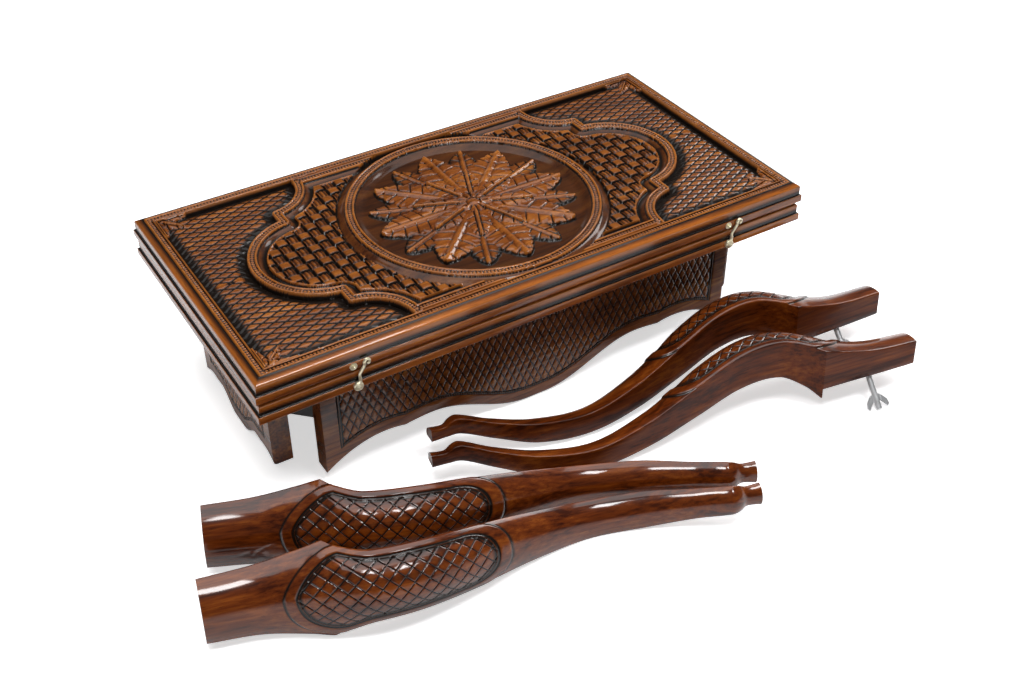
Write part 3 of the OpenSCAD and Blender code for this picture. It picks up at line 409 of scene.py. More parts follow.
def piece(name, points, quads, material, grain=None, hollow=None, worn=None, rings=(), sharp=40, matte=None):
    """A mesh object from points in millimetres, four-cornered faces and closing rings."""
    mesh = bpy.data.meshes.new(name)
    faces = [np.asarray(quads, dtype=np.int32).reshape(-1)]
    totals = [np.full(len(quads), 4, dtype=np.int32)]
    for ring in rings:
        faces.append(np.asarray(ring, dtype=np.int32))
        totals.append(np.array([len(ring)], dtype=np.int32))
    corners, totals = np.concatenate(faces), np.concatenate(totals)
    mesh.vertices.add(len(points))
    mesh.vertices.foreach_set("co", (np.asarray(points) * MM).astype(np.float32).reshape(-1))
    mesh.loops.add(len(corners))
    mesh.loops.foreach_set("vertex_index", corners)
    mesh.polygons.add(len(totals))
    mesh.polygons.foreach_set("loop_start", np.concatenate([[0], np.cumsum(totals)[:-1]]).astype(np.int32))
    mesh.polygons.foreach_set("use_smooth", np.ones(len(totals), dtype=bool))
    mesh.update(calc_edges=True)
    if grain is not None:
        layer = mesh.attributes.new("grain", "FLOAT_VECTOR", "POINT")
        layer.data.foreach_set("vector", (np.asarray(grain) * MM).astype(np.float32).reshape(-1))
    for label, values in (("hollow", hollow), ("worn", worn), ("matte", matte)):
        if values is not None:
            layer = mesh.attributes.new(label, "FLOAT", "POINT")
            layer.data.foreach_set("value", np.asarray(values).astype(np.float32).reshape(-1))
    if sharp:
        mesh.set_sharp_from_angle(angle=math.radians(sharp))
    mesh.materials.append(material)
    shape = bpy.data.objects.new(name, mesh)
    bpy.context.collection.objects.link(shape)
    return shape


def place_piece(shape, body, slot, *nodes):
    """Lets a piece ride on its body and stand for its nodes, which it hides; the slot is not used."""
    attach(shape, body)
    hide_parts(*nodes)


def box_mm(node):
    """A node's box in millimetres: low corner, high corner and middle."""
    low, high = (np.array(corner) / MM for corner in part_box(node))
    return low, high, (low + high) / 2


def case_middle():
    """The middle of the case's plan in millimetres, on the floor."""
    low, high = box_mm("tray_rail_left")[0], box_mm("tray_rail_right")[1]
    return np.array([(low[0] + high[0]) / 2, (low[1] + high[1]) / 2, 0.0])


def eased(corners, radii, steps=6):
    """A closed outline with its corners rounded."""
    out = []
    count = len(corners)
    for k in range(count):
        before, here, after = (np.array(corners[(k + d) % count], float) for d in (-1, 0, 1))
        one, two = before - here, after - here
        reach = min(radii[k], 0.48 * np.linalg.norm(one), 0.48 * np.linalg.norm(two))
        a, b = here + one / np.linalg.norm(one) * reach, here + two / np.linalg.norm(two) * reach
        for t in np.linspace(0, 1, steps):
            out.append((1 - t) ** 2 * a + 2 * t * (1 - t) * here + t * t * b)
    return np.array(out)


# roundings of a rail's inner corners and of its hidden edges in millimetres
CREASE, HIDDEN_EDGE = 0.7, 0.3


def rail_section(size, rail, lid):
    """A rail's section as set-back and height, with how much painted shade and how much painted highlight
    with wear each point takes.
    """
    height, width, rabbet = rail
    outline = [(0, 0), (0, size.lip), (size.step, size.lip), (size.step, size.arris), (size.inset, height)]
    radii = [size.easing, size.easing, CREASE, size.rounding, CREASE]
    if lid:
        outline += [(size.inset, rabbet), (width, rabbet), (width, 0)]
    else:
        outline += [(width, height), (width, rabbet), (size.inset, rabbet), (size.inset, 0)]
    radii += [HIDDEN_EDGE] * (len(outline) - len(radii))
    points = eased(outline, radii)

    def near(x, y, spread):
        return np.exp(-((points[:, 0] - x) ** 2 + (points[:, 1] - y) ** 2) / spread)

    # painted shade in the quirk where the lip meets the riser, and on the lid a darker joint with the panel:
    # partly a dark joint, partly painted shade in its gap
    joint = near(size.inset, height, 2.0) if lid else 0 * points[:, 0]
    dark = np.clip(near(size.step, size.lip, 2.2) + 0.8 * joint, 0, 1)
    # lighter on the arris and the lip's edge: painted highlight, with some wear
    worn = np.clip(near(size.step, size.arris, 6.0) + 0.6 * near(0, size.lip, 2.0), 0, 1)
    return points, dark, worn


TURNS = {"front": 0, "right": 1, "back": 2, "left": 3}


def quarter_turns(x, y, turns):
    """Places turned about the middle by quarter turns."""
    for _ in range(turns):
        x, y = -y, x
    return x, y


def build_rails(context):
    """The eight mitred rails of the lid and the tray."""
    size = in_mm(context.scene.board_moulding)
    material = finishes(context).walnut_rails
    centre = case_middle()
    half = (box_mm("tray_rail_right")[1] - centre)[0], (box_mm("tray_rail_back")[1] - centre)[1]
    stations = np.linspace(-1, 1, 41)
    for number, (level, body) in enumerate((("tray", "case"), ("lid", "lid"))):
        for side in SIDES:
            node = f"{level}_rail_{side}"
            low, high, _ = box_mm(node)
            long_side = side in ("front", "back")
            width = (high - low)[1 if long_side else 0]
            rabbet = box_mm("lid_carved_panel")[0][2] - low[2] if level == "lid" else size.rabbet
            section, dark, worn = rail_section(size, (high[2] - low[2], width, rabbet), level == "lid")
            run, off = half if long_side else half[::-1]
            s = stations[:, None] * (run - section[None, :, 0])
            d, h = section.T
            dark, worn = (np.broadcast_to(value, s.shape) for value in (dark, worn))
            x, y = quarter_turns(s, d - off, TURNS[side])
            points = points_of(x + centre[0], y + centre[1], h + low[2])
            # each rail is cut from another place of the plank
            grain = points_of(s + 700 * (TURNS[side] + 4 * number), d + 90 * TURNS[side], h)
            quads, caps = bar_faces(len(stations), len(section))
            shape = piece(node + "_moulded", points, quads, material, grain, dark, worn, caps, 60)
            place_piece(shape, body, "varnished_wood", node)


def nearest_on(path, points):
    """Distance from each point to a dense path and the length along it there."""
    steps = np.concatenate([[0], np.cumsum(np.linalg.norm(np.diff(path, axis=0), axis=1))])
    distance, along = np.empty(len(points)), np.empty(len(points))
    for start in range(0, len(points), 4000):
        part = points[start:start + 4000]
        square = ((part[:, None, :] - path[None, :, :]) ** 2).sum(-1)
        best = square.argmin(1)
        distance[start:start + 4000] = np.sqrt(square[np.arange(len(part)), best])
        along[start:start + 4000] = steps[best]
    return distance, along


def arc(x, y, radius, start, end, step=0.4):
    """Points along an arc given in degrees."""
    count = max(3, int(abs(end - start) * math.pi / 180 * radius / step))
    turn = np.radians(np.linspace(start, end, count))
    return np.stack([x + radius * np.cos(turn), y + radius * np.sin(turn)], -1)


def line(a, b, step=0.4):
    """Points along a straight line."""
    count = max(2, int(math.dist(a, b) / step))
    return np.linspace(a, b, count)


def beaded_band(across, along, pitch, top):
    """A band of two smooth beads with pearls sunk between them; across runs from -1 outside to 1 inside."""
    beads = np.maximum(dome((across + 0.7) / 0.33), dome((across - 0.74) / 0.28))
    step = 2 * (along / pitch - np.round(along / pitch))
    pearls = dome(np.hypot(across / 0.42, step / 0.95))
    wall = rise(1.04, 0.94, np.abs(across))
    # painted shade: the sunk middle between the pearls and the places beyond the band's walls are darkened
    sunk = (np.abs(across) < 0.44) * (0.75 - 0.7 * pearls)
    return wall * (top - 2.0 + np.maximum(2.0 * beads, 1.5 * pearls)), np.clip(0.9 * sunk + 1 - wall, 0, 1)


def diamonds(u, v):
    """How near a place is to the grooves of a diamond lattice: 0 in a cell's middle, 1 in the groove."""
    p, q = u + v, u - v
    return 2 * np.maximum(np.abs(p - np.round(p)), np.abs(q - np.round(q)))


REEDS = 2.6


def basket(x, y, pitch):
    """A basket weave: smooth blocks of one strip passing over reeded strips, with painted shade in the gaps
    between them.
    """
    column, row = np.round(x / pitch), np.round(y / pitch)
    u, v = (x / pitch - column) * 2, (y / pitch - row) * 2
    over = (column + row) % 2 == 1
    block = 3.2 + 1.8 * dome(u / 0.98) ** 0.8 * dome(v / 0.94) ** 0.4
    ripple = np.cos(u * math.pi * REEDS)
    reeds = 2.6 + 1.1 * np.cos(v * math.pi / 2 * 0.8) + 0.5 * ripple
    off_block = (np.abs(u) > 0.97) | (np.abs(v) > 0.9)
    off_reeds = np.abs(u) > 0.72
    gap = np.where(over, off_block, off_reeds)
    height = np.where(gap, 1.0, np.where(over, block, reeds))
    # painted shade: darkest in the gaps, deepening towards the blocks' edges and between the reeds
    between_reeds = np.clip(0.55 - 0.55 * ripple, 0, 1)
    block_edge = rise(0.6, 1.0, np.maximum(np.abs(u), np.abs(v)))
    dark = np.where(gap, 0.9, np.where(over, 0.18 + 0.6 * block_edge, 0.12 + 0.34 * between_reeds))
    return height, dark


def leaf(along, across, reach, width, height, lobes=5):
    """A carved leaf along +X: rounded lobes at its edges, grooves between them and a raised midrib."""
    t = np.clip(along / reach, 0, 1)
    notch = np.abs(np.sin(math.pi * lobes * t)) ** 0.5
    half = width / 2 * np.sin(math.pi * t ** 0.8) ** 0.6 * (0.8 + 0.2 * notch) + 1e-6
    side = np.abs(across) / half
    inside = (along > 0) & (along < reach) & (side < 1)
    body = 0.45 + 0.55 * dome(np.minimum(side, 1)) ** 0.7
    veins = np.abs(np.sin(math.pi * (lobes * t - 0.55 * side)))
    body = body - 0.34 * np.exp(-(veins / 0.22) ** 2) * rise(0.05, 0.35, side)
    rib = np.exp(-(across / (0.035 * width + 0.5)) ** 2)
    body = body + 0.22 * rib - 0.2 * np.exp(-((np.abs(across) - 0.09 * width) / (0.025 * width + 0.35)) ** 2)
    return np.where(inside, height * body, 0.0)


# rings of leaves in the rosette: start, reach, width, height, share of a step turned on, lobes
ROSETTE_LEAVES = ((50, 54, 34, 3.9, 0.5, 5), (15.3, 88, 50, 5.2, 0.0, 7), (14.0, 46, 27, 7.0, 0.5, 4))
# radii of the rosette's flower and of the button in it
FLOWER, BUTTON = 22, 7.5


def rosette(x, y):
    """A carved rosette: three rings of eight leaves and a flower in the middle."""
    radius, turn = np.hypot(x, y), np.arctan2(y, x)
    height = np.zeros_like(x)
    for start, reach, width, top, shift, lobes in ROSETTE_LEAVES:
        for k in range(8):
            angle = (k + shift) * math.pi / 4
            along = x * math.cos(angle) + y * math.sin(angle) - start
            across = y * math.cos(angle) - x * math.sin(angle)
            height = np.maximum(height, leaf(along, across, reach, width, top, lobes))
    petals = 7.4 * dome((radius - 9) / 13) ** 0.6 * (0.66 + 0.34 * np.abs(np.cos(6 * turn)))
    height = np.maximum(height, np.where(radius < FLOWER, petals, 0))
    return np.where(radius < BUTTON, 3.8 + 4.0 * dome(radius / BUTTON), height)


def blurred(field, cells):
    """A field averaged over a square of cells to each side."""
    for axis in (0, 1):
        padded = np.pad(field, [(cells + 1, cells) if a == axis else (0, 0) for a in (0, 1)], mode="edge")
        total = np.cumsum(padded, axis=axis)
        size = field.shape[axis]
        ahead = np.take(total, np.arange(2 * cells + 1, 2 * cells + 1 + size), axis=axis)
        behind = np.take(total, np.arange(0, size), axis=axis)
        field = (ahead - behind) / (2 * cells + 1)
    return field


def cartouche_path(size):
    """A quarter of the cartouche's middle line: the straight, the hollow, the notch and the lobe."""
    drop = math.sqrt(size.hollow ** 2 - (size.hollow_x - size.notch) ** 2)
    notch_turn = 180 + math.degrees(math.acos((size.hollow_x - size.notch) / size.hollow))
    lobe_turn = math.degrees(math.acos((size.notch - size.lobe_x) / size.lobe))
    lobe_y = math.sqrt(size.lobe ** 2 - (size.notch - size.lobe_x) ** 2)
    return np.concatenate([
        line((0, size.straight), (size.hollow_x - size.hollow, size.straight)),
        arc(size.hollow_x, size.hollow_y, size.hollow, 180, notch_turn),
        line((size.notch, size.hollow_y - drop), (size.notch, lobe_y)),
        arc(size.lobe_x, 0, size.lobe, lobe_turn, 0),
    ])


def by_quarter(find, ax, ay):
    """Values found for one quarter of a grid that is mirrored about its middle row and column."""
    rows, columns = ax.shape[0] // 2, ax.shape[1] // 2
    values = find(np.stack([ax[rows:, columns:], ay[rows:, columns:]], -1).reshape(-1, 2))
    row, column = np.abs(np.arange(ax.shape[0]) - rows), np.abs(np.arange(ax.shape[1]) - columns)
    return [value.reshape(rows + 1, columns + 1)[row[:, None], column[None, :]] for value in values]


# place of one diamond's middle in the end fields, and a corner leaf's width, height and lobes
FIELD_DIAMOND, CORNER_LEAF = (239, 84), (13, 6.6, 3)


def end_fields(ax, ay, margin, half, size):
    """The end fields: a cushion of diamonds that sinks towards the bands, with leaves in the corners, and
    painted shade in the grooves, in the valley by the bands and low on the leaves.
    """
    start_x, start_y = FIELD_DIAMOND
    groove = diamonds((ax - start_x) / size.scale_length, (ay - start_y) / size.scale_width)
    shown = rise(0.5, 5, margin)
    height = 0.4 + 4.4 * rise(-2, size.valley, margin) + shown * (1.1 * (1 - groove ** 3) - 0.6)
    # painted shade in the diamonds' grooves and in the valley by the bands
    dark = np.maximum(0.95 * rise(0.62, 0.95, groove), 1.1 * rise(15, 1, margin))
    for angle in (180, 225, 270):
        c, s = math.cos(math.radians(angle)), math.sin(math.radians(angle))
        px, py = ax - (half[0] - size.border - 1), ay - (half[1] - size.border - 1)
        blade = leaf(px * c + py * s, py * c - px * s, size.leaf, *CORNER_LEAF)
        height = np.where(blade > 0.3, np.maximum(blade, height * 0.6), height)
        # painted shade on the leaves' low parts
        dark = np.where(blade > 0.3, 0.75 * rise(5.2, 3.2, blade), dark)
    return height, dark


def carved_lid(x, y, half, size):
    """Heights of the lid's carving above its ground, and its painted shade, at places from the panel's
    middle.
    """
    ax, ay = np.abs(x), np.abs(y)
    radius, turn = np.hypot(x, y), np.arctan2(y, x)
    edge = np.minimum(half[0] - ax, half[1] - ay)
    along_edge = np.where(half[0] - ax < half[1] - ay, y, x)
    path = cartouche_path(size)
    distance, along = by_quarter(lambda places: nearest_on(path, places), ax, ay)
    inside = np.where(
        ax < size.notch,
        (ay < size.straight) & (np.hypot(ax - size.hollow_x, ay - size.hollow_y) > size.hollow),
        np.hypot(ax - size.lobe_x, ay) < size.lobe)
    inside |= (ax < size.hollow_x - size.hollow) & (ay < size.straight)
    half_band = size.band / 2
    out = radius - size.ring
    margin = np.minimum(np.minimum(edge - size.border, distance - half_band), out - half_band - size.cove)
    layers = [(True, end_fields(ax, ay, margin, half, size))]
    # cartouche: a smooth cove and a fine bead inside the band, then the basket weave
    within = distance - half_band
    cove = 0.9 + 3.6 * (1 - rise(0, size.cove, within)) ** 1.5
    bead = 4.9 * dome((within - size.cove - 0.6) / 1.2)
    woven, woven_dark = basket(x, y, size.weave)
    in_cove = within < size.cove
    # painted shade deepening down the cove towards the band
    cove_dark = np.clip(0.35 + 0.45 * rise(2, size.cove, within), 0, 1) * (bead < 0.1)
    layers.append((inside, (np.maximum(np.where(in_cove, cove, woven), bead),
                            np.where(in_cove | (bead > 0.1), cove_dark, woven_dark))))
    side = distance / half_band * np.where(inside, 1, -1)
    layers.append((distance < half_band, beaded_band(side, along, size.pearl, size.relief)))
    # medallion: coves on both sides of the beaded ring, a plain ground and the rosette
    outer_cove = 0.8 + 4.2 * (1 - rise(half_band, half_band + size.cove, out)) ** 1.2
    # painted shade laid evenly over the outer cove
    layers.append(((out < half_band + size.cove) & (edge > size.border), (outer_cove, 0.35 + 0 * x)))
    bowl = 0.5 + 4.2 * rise(-half_band - 1.4 * size.cove, -half_band, out) ** 1.5
    flower = rosette(x, y)
    # painted shade on the rosette's low parts and evenly on the medallion's ground
    flower_dark = np.where(flower > bowl, 0.75 * rise(4.4, 2.2, flower), 0.42)
    layers.append((out < -half_band, (np.maximum(bowl, flower), flower_dark)))
    ring = beaded_band(-out / half_band, turn * size.ring, size.pearl, size.relief)
    layers.append((np.abs(out) < half_band, ring))
    border = beaded_band((edge / size.border) * 2 - 1, along_edge, size.pearl, size.relief)
    layers.append(((edge < size.border) & ((out > half_band) | (edge < 2)), border))
    height, dark = np.zeros_like(x), np.zeros_like(x)
    for where, (layer_height, layer_dark) in layers:
        height, dark = np.where(where, layer_height, height), np.where(where, layer_dark, dark)
    return height, dark


def build_carving(context):
    """The lid's carved panel."""
    size = in_mm(context.scene.board_carving)
    low, high, middle = box_mm("lid_carved_panel")
    half = (high - low)[:2] / 2
    columns, rows = (int(round(2 * v / size.cell)) | 1 for v in half)
    x, y = np.meshgrid(np.linspace(-half[0], half[0], columns), np.linspace(-half[1], half[1], rows))
    height, painted_shade = carved_lid(x, y, half, size)
    # painted shade: places lower than the blurred carving around them are darkened like shade in a recess,
    # together with the carving's own painted shade
    sunk = np.maximum((blurred(blurred(height, 5), 5) - height) / 3.4, (blurred(height, 2) - height) / 1.1)
    hollow = np.clip(np.maximum(sunk, painted_shade), 0, 1)
    # crests lighter: painted highlight, with some wear
    worn = np.clip((height - blurred(blurred(height, 6), 6)) / 2.2, 0, 1) * (1 - hollow)
    ground = high[2] - size.relief
    points = points_of(x + middle[0], y + middle[1], ground + height)
    grain = points_of(x + 5000, y, height)
    quads = grid_quads(rows, columns)
    number = np.arange(rows * columns).reshape(rows, columns)
    rim = np.concatenate([number[0, :], number[1:, -1], number[-1, -2::-1], number[-2:0:-1, 0]])
    skirt = points[rim].copy()
    skirt[:, 2] = low[2]
    under = np.arange(len(rim)) + len(points)
    after = np.roll(np.arange(len(rim)), -1)
    wall = np.stack([rim, under, under[after], rim[after]], -1)
    points = np.concatenate([points, skirt])
    grain = np.concatenate([grain, grain[rim] - (0, 0, 9)])
    # painted shade: the hidden side walls are fully darkened
    hollow = np.concatenate([hollow.reshape(-1), np.ones(len(rim))])
    worn = np.concatenate([worn.reshape(-1), np.zeros(len(rim))])
    shape = piece("lid_carving", points, np.concatenate([quads, wall]), finishes(context).walnut_carving,
                  grain, hollow, worn, [under[::-1]], 75)
    place_piece(shape, "lid", "carved_wood", "lid_carved_panel")


# places of the serpentine's crest, its cusp and the top of its outer arch, as shares of half an apron
CREST, CUSP, ARCH = 0.515, 0.64, 0.73
# distance between the dots under the lattice, and the height of one diamond's middle
DOT_PITCH, LATTICE_LEVEL = 2.6, 40


def serpentine(s, run, size, top_rise):
    """Height of an apron's lower edge at a distance from its middle."""
    s = np.abs(s)
    crest, cusp, start = CREST * run, CUSP * run, ARCH * run
    belly = top_rise * (1 - np.cos(math.pi * np.clip((s - size.flat) / (crest - size.flat), 0, 1))) / 2
    cusp_height = top_rise - (top_rise - size.foot) * ((cusp - start) / (run - start)) ** 2
    bend = math.pi / 2 * np.clip((s - crest) / (cusp - crest), 0, 1)
    fall = cusp_height + (top_rise - cusp_height) * np.cos(bend)
    outer = top_rise - (top_rise - size.foot) * ((s - start) / (run - start)) ** 2
    return np.where(s < crest, belly, np.where(s < cusp, fall, outer))


def apron_relief(s, z, field, size):
    """Relief of an apron's lattice field and of the dotted band under it, its painted shade and its painted
    highlight on the cells.
    """
    groove = diamonds(s / size.lattice_width, (z - LATTICE_LEVEL) / size.lattice_height)
    inside = rise(0, 1.4, field)
    in_band = rise(size.dots + 0.8, size.dots - 0.4, field)
    step = 2 * (s / DOT_PITCH - np.round(s / DOT_PITCH))
    dots = dome(np.hypot(step / 0.95, (field - size.dots / 2) / (0.45 * size.dots)))
    cells = 1 - groove ** 4
    relief = inside * (np.where(in_band > 0.5, 0.9 * dots, cells) - size.depth)
    # painted shade in the lattice's grooves, between the dots and along the field's edge
    line_dark = 0.95 * rise(0.8, 0.97, groove)
    dark = inside * np.where(in_band > 0.5, 0.85 - 0.5 * dots, line_dark)
    dark = np.clip(np.maximum(dark, inside * rise(3.0, 0.4, field)), 0, 1)
    # the third value lightens the cells' middles as painted highlight
    return relief, dark, inside * (1 - rise(0.2, 0.7, groove)) * 0.5


def build_aprons(context):
    """The four aprons with their serpentine edges and lattice fields."""
    size = in_mm(context.scene.board_aprons)
    material = finishes(context).walnut_aprons
    centre = case_middle()
    top = box_mm("apron_front")[1][2]
    for number, side in enumerate(SIDES):
        node = f"apron_{side}"
        low, high, _ = box_mm(node)
        along_axis = 0 if side in ("front", "back") else 1
        run = (high - low)[along_axis] / 2
        off = np.abs((low if side in ("front", "left") else high) - centre)[1 - along_axis]
        lift = size.front_rise if along_axis == 0 else size.side_rise
        columns = int(round(2 * run / size.cell)) | 1
        rows = int(round(top / size.cell)) | 1
        s = np.linspace(-run, run, columns)
        edge = serpentine(s, run, size, lift)
        tall = top - edge[None, :] - size.easing
        z = edge[None, :] + size.easing + np.linspace(0, 1, rows)[:, None] * tall
        across = np.broadcast_to(s[None, :], z.shape)
        lower = z - edge[None, :] - size.rim
        field = np.minimum(np.minimum(run - size.stile - np.abs(across), lower), top - size.margin - z)
        out, hollow, worn = apron_relief(across, z, field, size)
        # the section runs from the back of the lower edge round its front and up to the top
        bend = np.linspace(0, math.pi / 2, 6)[:-1]
        flat = np.zeros((1, columns))
        depth = np.concatenate([flat - size.thickness, flat - size.easing * (1 - np.sin(bend))[:, None], out,
                                flat - size.thickness]).T
        height = np.concatenate([edge[None, :], edge[None, :] + size.easing * (1 - np.cos(bend))[:, None], z,
                                 flat + top]).T
        plain = np.zeros((1 + len(bend), columns))
        hollow, worn = (np.concatenate([plain, value, flat]).T for value in (hollow, worn))
        along = np.broadcast_to(s[:, None], depth.shape)
        x, y = quarter_turns(along, -off - depth, TURNS[side])
        points = points_of(x + centre[0], y + centre[1], height)
        grain = points_of(along + 900 * number, height, depth)
        quads, caps = bar_faces(columns, depth.shape[1])
        shape = piece(node + "_carved", points, quads, material, grain, hollow, worn, caps, 60)
        place_piece(shape, "case", "varnished_wood", node)


def smooth_curve(knots, places):
    """A smooth curve through [place, value] knots."""
    knots = np.array(knots, float)
    last = len(knots) - 1
    before, after = (knots[np.clip(np.arange(last + 1) + way, 0, last)] for way in (-1, 1))
    slopes = (after[:, 1] - before[:, 1]) / (after[:, 0] - before[:, 0])
    k = np.clip(np.searchsorted(knots[:, 0], places, side="right") - 1, 0, last - 1)
    step = knots[k + 1, 0] - knots[k, 0]
    t = (places - knots[k, 0]) / step
    return ((2 * t ** 3 - 3 * t ** 2 + 1) * knots[k, 1] + (3 * t ** 2 - 2 * t ** 3) * knots[k + 1, 1]
            + step * ((t ** 3 - 2 * t ** 2 + t) * slopes[k] + (t ** 3 - t ** 2) * slopes[k + 1]))


# a leg's outer and inner faces as [place along the leg, distance from its axis] knots in millimetres
OUTER_FACE = (
    (0, 40), (45.3, 43.1), (84.5, 52.75), (103, 58.75), (142.3, 65), (181.6, 62.5), (232.7, 49.4),
    (287.7, 32.5), (342.7, 22.3), (395.8, 26.9), (437.1, 36.2), (466.5, 45.8), (474.4, 44.6),
    (482, 41), (496, 42.5),
)
INNER_FACE = (
    (103, 0), (114.8, 10.5), (138.4, 21.8), (181.6, 21.6), (232.7, 11.8), (287.7, 1.5), (342.7, -3.2),
    (395.8, 2.4), (437.1, 15.7), (466.5, 26.3), (480.3, 27.3), (496, 27.5),
)
# how each leg lies on the floor: turns about X, Y and Z in degrees
LEG_TURNS = {
    "front_left": (14.1, 1.9, -13.4), "back_left": (14.1, 1.9, -19.9),
    "front_right": (2.8, 2.4, 168.2), "back_right": (2.8, 2.4, 174),
}
# spacing of the points on the carved knee, the length of the finely divided foot, and the points across a leg
KNEE_CELL, FOOT_LENGTH, LEG_POINTS = 0.7, 50, 129


def turned(points, angles):
    """Points turned about X, then Y, then Z by angles in degrees."""
    matrix = np.eye(3)
    for axis, angle in zip("XYZ", angles):
        matrix = np.array(Matrix.Rotation(math.radians(angle), 3, axis)) @ matrix
    return points @ matrix.T


def leg_faces_at(places, size):
    """The outer and the inner faces' distances from the leg's axis."""
    outer = smooth_curve(OUTER_FACE, places)
    inner = np.where(places <= size.post_length, 0.0, smooth_curve(INNER_FACE, places))
    return outer, inner


def outer_ring(size, places, spans):
    """The two outer faces of a leg and the rounded corner between them, with the place c across them."""
    outer, inner = leg_faces_at(places, size)
    side = outer - inner
    radius = (size.roundness * side)[:, None]
    reach = side[:, None] - radius + math.pi / 4 * radius
    c = spans[None, :] * (reach - size.edge_round)
    turn = np.clip(c / radius, -math.pi / 4, math.pi / 4) + math.pi / 4
    over = np.maximum(np.abs(c) - math.pi / 4 * radius, 0)
    nv, nu = np.sin(turn), np.cos(turn)
    v = outer[:, None] - radius + radius * nv - np.where(c < 0, over, 0)
    u = outer[:, None] - radius + radius * nu - np.where(c > 0, over, 0)
    return SimpleNamespace(v=v, u=u, nv=nv, nu=nu, c=c, reach=reach, inner=inner[:, None])


def knee_relief(places, ring, size):
    """Relief of the carved panel on the knee, its painted shade and its painted highlight."""
    w = np.broadcast_to(places[:, None], ring.c.shape)
    c = np.abs(ring.c)
    side = ring.reach - size.rim - c

    def end_margin(place, run, bend):
        """How far inside a rounded end each place lies."""
        width = np.interp(place, places, ring.reach[:, 0]) - size.rim
        beyond = np.abs(w - place) / run
        return min(width, run) * (1 - (beyond ** bend + (c / width) ** bend) ** (1 / bend))

    upper_bend = np.where(ring.c < 0, 1.35, 2.0)
    left = end_margin(size.ear, size.ear - size.knee_start, upper_bend)
    right = end_margin(size.round_end, size.knee_end - size.round_end, 2.2)
    inside = np.where(w < size.ear, left, np.where(w > size.round_end, right, side))
    groove = diamonds(w / size.lattice_along, ring.c / size.lattice_across)
    field = rise(0.6, 2.4, inside)
    cells = -0.85 * rise(0.84, 1.0, groove)
    crown = 2.6 * rise(-1, 18, inside) - 1.5
    gutter = np.exp(-((inside - 0.2) / 1.1) ** 2)
    raised = size.collar * rise(-size.rim - 1.4, -size.rim + 0.4, inside)
    foot = np.exp(-((inside + size.rim + 1.2) / 1.3) ** 2)
    relief = raised + field * (crown + cells) - 1.3 * gutter
    # painted shade in the gutter round the field, in the lattice's grooves, at the step round the rim and
    # along the field's edge
    dark = np.maximum(np.maximum(0.9 * gutter, 0.95 * field * rise(0.84, 0.97, groove)), 0.6 * foot)
    dark = np.maximum(dark, 0.7 * field * rise(7, 1, inside))
    # painted highlight on the cells' middles
    worn = field * rise(0.75, 0.4, groove) * rise(3, 12, inside) * 0.45
    fade = rise(0, 4, size.collar + ring.reach - c)
    return relief * fade, np.clip(dark, 0, 1), worn


def close_ring(v, u, ring, size, chamfer):
    """Adds the worn edges, the two inner faces and the chamfer between them to a leg's outer faces."""
    bend = np.linspace(0, math.pi / 2, 4)[None, 1:]
    share_along = np.linspace(0, 1, 6)[None, 1:]
    r = size.edge_round
    edge_v, edge_u = v[:, -1:] - r * (1 - np.cos(bend)), ring.inner + r * (1 - np.sin(bend))
    face_v = edge_v[:, -1:] + (ring.inner + chamfer - edge_v[:, -1:]) * share_along
    face_u = ring.inner + 0 * face_v
    back_u = ring.inner + chamfer + (u[:, :1] - r - ring.inner - chamfer) * np.linspace(0, 1, 6)[None, :]
    back_v = ring.inner + 0 * back_u
    top_v, top_u = ring.inner + r * (1 - np.cos(bend[:, :-1])), u[:, :1] - r * (1 - np.sin(bend[:, :-1]))
    return (np.concatenate([v, edge_v, face_v, back_v, top_v], 1),
            np.concatenate([u, edge_u, face_u, back_u, top_u], 1))


def build_legs(context):
    """The four cabriole legs."""
    size = in_mm(context.scene.board_legs)
    material = finishes(context).walnut_legs
    beyond = size.rim + 6
    carved = np.arange(size.knee_start - beyond, size.knee_end + beyond, KNEE_CELL)
    post_edge = np.array([size.post_length - 0.01, size.post_length + 0.01])
    foot_start = size.whole - FOOT_LENGTH
    foot = np.linspace(foot_start, size.whole, 40)
    places = np.unique(np.concatenate([np.linspace(0, carved[0], 24), carved, post_edge,
                                       np.linspace(carved[-1], foot_start, 50), foot]))
    ring = outer_ring(size, places, np.linspace(-1, 1, LEG_POINTS))
    base_v, base_u = close_ring(ring.v, ring.u, ring, size, 0 * ring.inner + size.edge)
    relief, dark, worn = knee_relief(places, ring, size)
    chamfer = np.where(places <= size.post_length, size.chamfer, size.edge)[:, None]
    v, u = close_ring(ring.v + relief * ring.nv, ring.u + relief * ring.nu, ring, size, chamfer)
    count = v.shape[1]
    spare = np.zeros((len(places), count - ring.c.shape[1]))
    matte = np.concatenate([0 * dark, spare + 1], 1).reshape(-1)
    dark, worn = (np.concatenate([value, spare], 1).reshape(-1) for value in (dark, worn))
    w = np.broadcast_to(places[:, None], v.shape)
    local, base = points_of(w, -v, u), points_of(w, -base_v, base_u)
    quads, caps = bar_faces(len(places), count)
    for number, corner in enumerate(CORNERS):
        node = f"leg_{corner}"
        spun = turned(base, LEG_TURNS[corner])
        shift = box_mm(node)[2] - (spun.min(0) + spun.max(0)) / 2
        points = turned(local, LEG_TURNS[corner]) + shift
        grain = local + (1300 * number, 0, 0)
        shape = piece(node + "_carved", points, quads, material, grain, dark, worn, caps, 50, matte)
        place_piece(shape, node, "varnished_wood", node)


